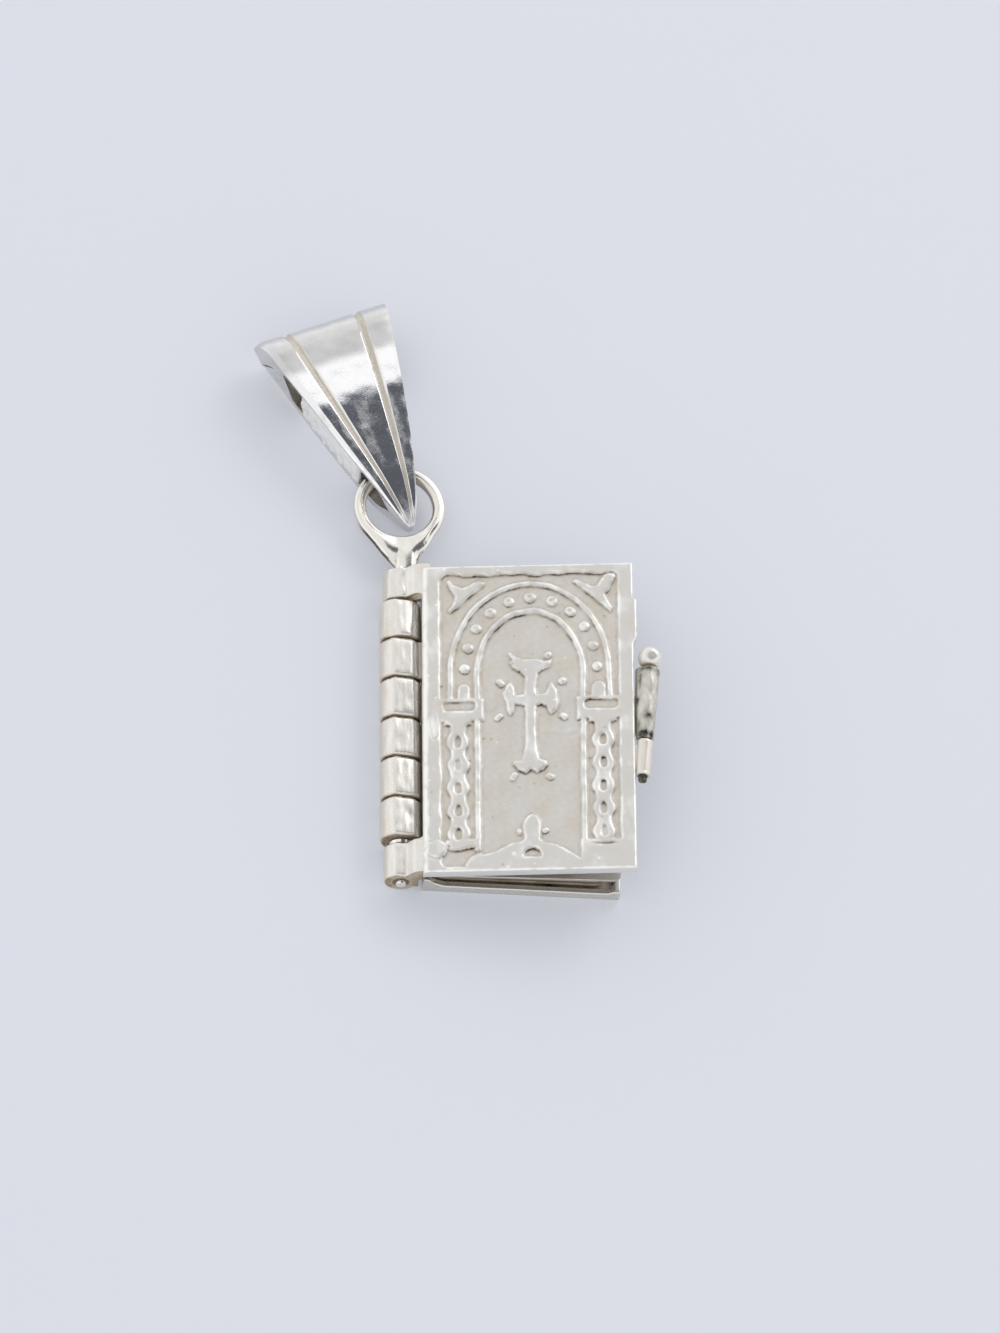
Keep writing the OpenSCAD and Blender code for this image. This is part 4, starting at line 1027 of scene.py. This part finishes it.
def patch(direction, outer, inner):
    """1 inside a soft round part of the sky, 0 outside. It fades between two angles from its middle."""
    dot = add(tree, "ShaderNodeVectorMath", {0: way, 1: Vector(direction).normalized()},
              operation="DOT_PRODUCT").outputs["Value"]
    return add(tree, "ShaderNodeMapRange", {"Value": dot, "From Min": math.cos(math.radians(outer)),
                                            "From Max": math.cos(math.radians(inner))},
               interpolation_type="SMOOTHSTEP").outputs[0]


# A tent of white cloth, brighter low down where the lamps stand and in one patch toward the bail, with a dark
# opening overhead for the camera
low = add(tree, "ShaderNodeMapRange", {"Value": sky_height, "From Min": 0.62, "From Max": 0.4},
          interpolation_type="SMOOTHSTEP").outputs[0]
cloth = add(tree, "ShaderNodeMapRange", {"Value": low, "To Min": 0.93, "To Max": 1.15}).outputs[0]
opening = patch((0.3, 0.05, 0.95), 25, 20)
bright_cloth = patch((0.14, 0.45, 0.88), 14, 7)
cloth = add(tree, "ShaderNodeMath", {0: bright_cloth, 1: 0.12, 2: cloth}, operation="MULTIPLY_ADD").outputs[0]
level = add(tree, "ShaderNodeMix", {"Factor": opening, "A": cloth, "B": 0.2}).outputs["Result"]
tint = add(tree, "ShaderNodeMix", {"Factor": opening, "A": linear("#FFFFFF"), "B": linear("#BCC1CE")},
           data_type="RGBA").outputs["Result"]
sky = add(tree, "ShaderNodeBackground", {"Color": tint, "Strength": level}).outputs[0]
add(tree, "ShaderNodeOutputWorld", {"Surface": sky})

lamp = bpy.data.lights.new("north_softbox", "AREA")
lamp.energy = 0.5
lamp.shape = "RECTANGLE"
lamp.size, lamp.size_y = 0.3, 0.2
softbox = bpy.data.objects.new("north_softbox", lamp)
toward = Vector((0.5, 0.62, 0.6)).normalized()
softbox.location = toward * 0.6
softbox.rotation_euler = toward.to_track_quat("Z", "Y").to_euler()
bpy.context.scene.collection.objects.link(softbox)

# The camera looks down from the lower end of the book. In millimetres: how far off it is, how wide its frame
# is at the book, how wide its sensor is, and how far the frame's middle lies above and right of its aim.
DISTANCE, FRAME_W, SENSOR_W = 550, 50, 36
MIDDLE_UP, MIDDLE_RIGHT = 3.4925, 0.0265
azimuth, elevation, roll = math.radians(-13.05), math.radians(61), math.radians(-14.32)
right = Vector((math.cos(azimuth), math.sin(azimuth), 0))
back = Vector((math.sin(azimuth) * math.cos(elevation), -math.cos(azimuth) * math.cos(elevation),
               math.sin(elevation)))
up = back.cross(right)
frame_right = right * math.cos(roll) - up * math.sin(roll)
frame_up = right * math.sin(roll) + up * math.cos(roll)
aim = Vector((5.0 + HINGE_X, 0, 1.0)) * 0.001
lens = bpy.data.cameras.new("camera")
lens.sensor_fit = "HORIZONTAL"
lens.sensor_width = SENSOR_W
lens.lens = SENSOR_W * DISTANCE / FRAME_W
camera = bpy.data.objects.new("camera", lens)
to_middle = (Matrix.Rotation(math.atan(MIDDLE_UP / DISTANCE), 3, "X")
             @ Matrix.Rotation(-math.atan(MIDDLE_RIGHT / DISTANCE), 3, "Y"))
pose = Matrix((frame_right, frame_up, back)).transposed() @ to_middle
camera.matrix_world = Matrix.Translation(aim + back * DISTANCE * 0.001) @ pose.to_4x4()
bpy.context.scene.collection.objects.link(camera)
bpy.context.scene.camera = camera
bpy.context.scene.view_settings.view_transform = "Standard"
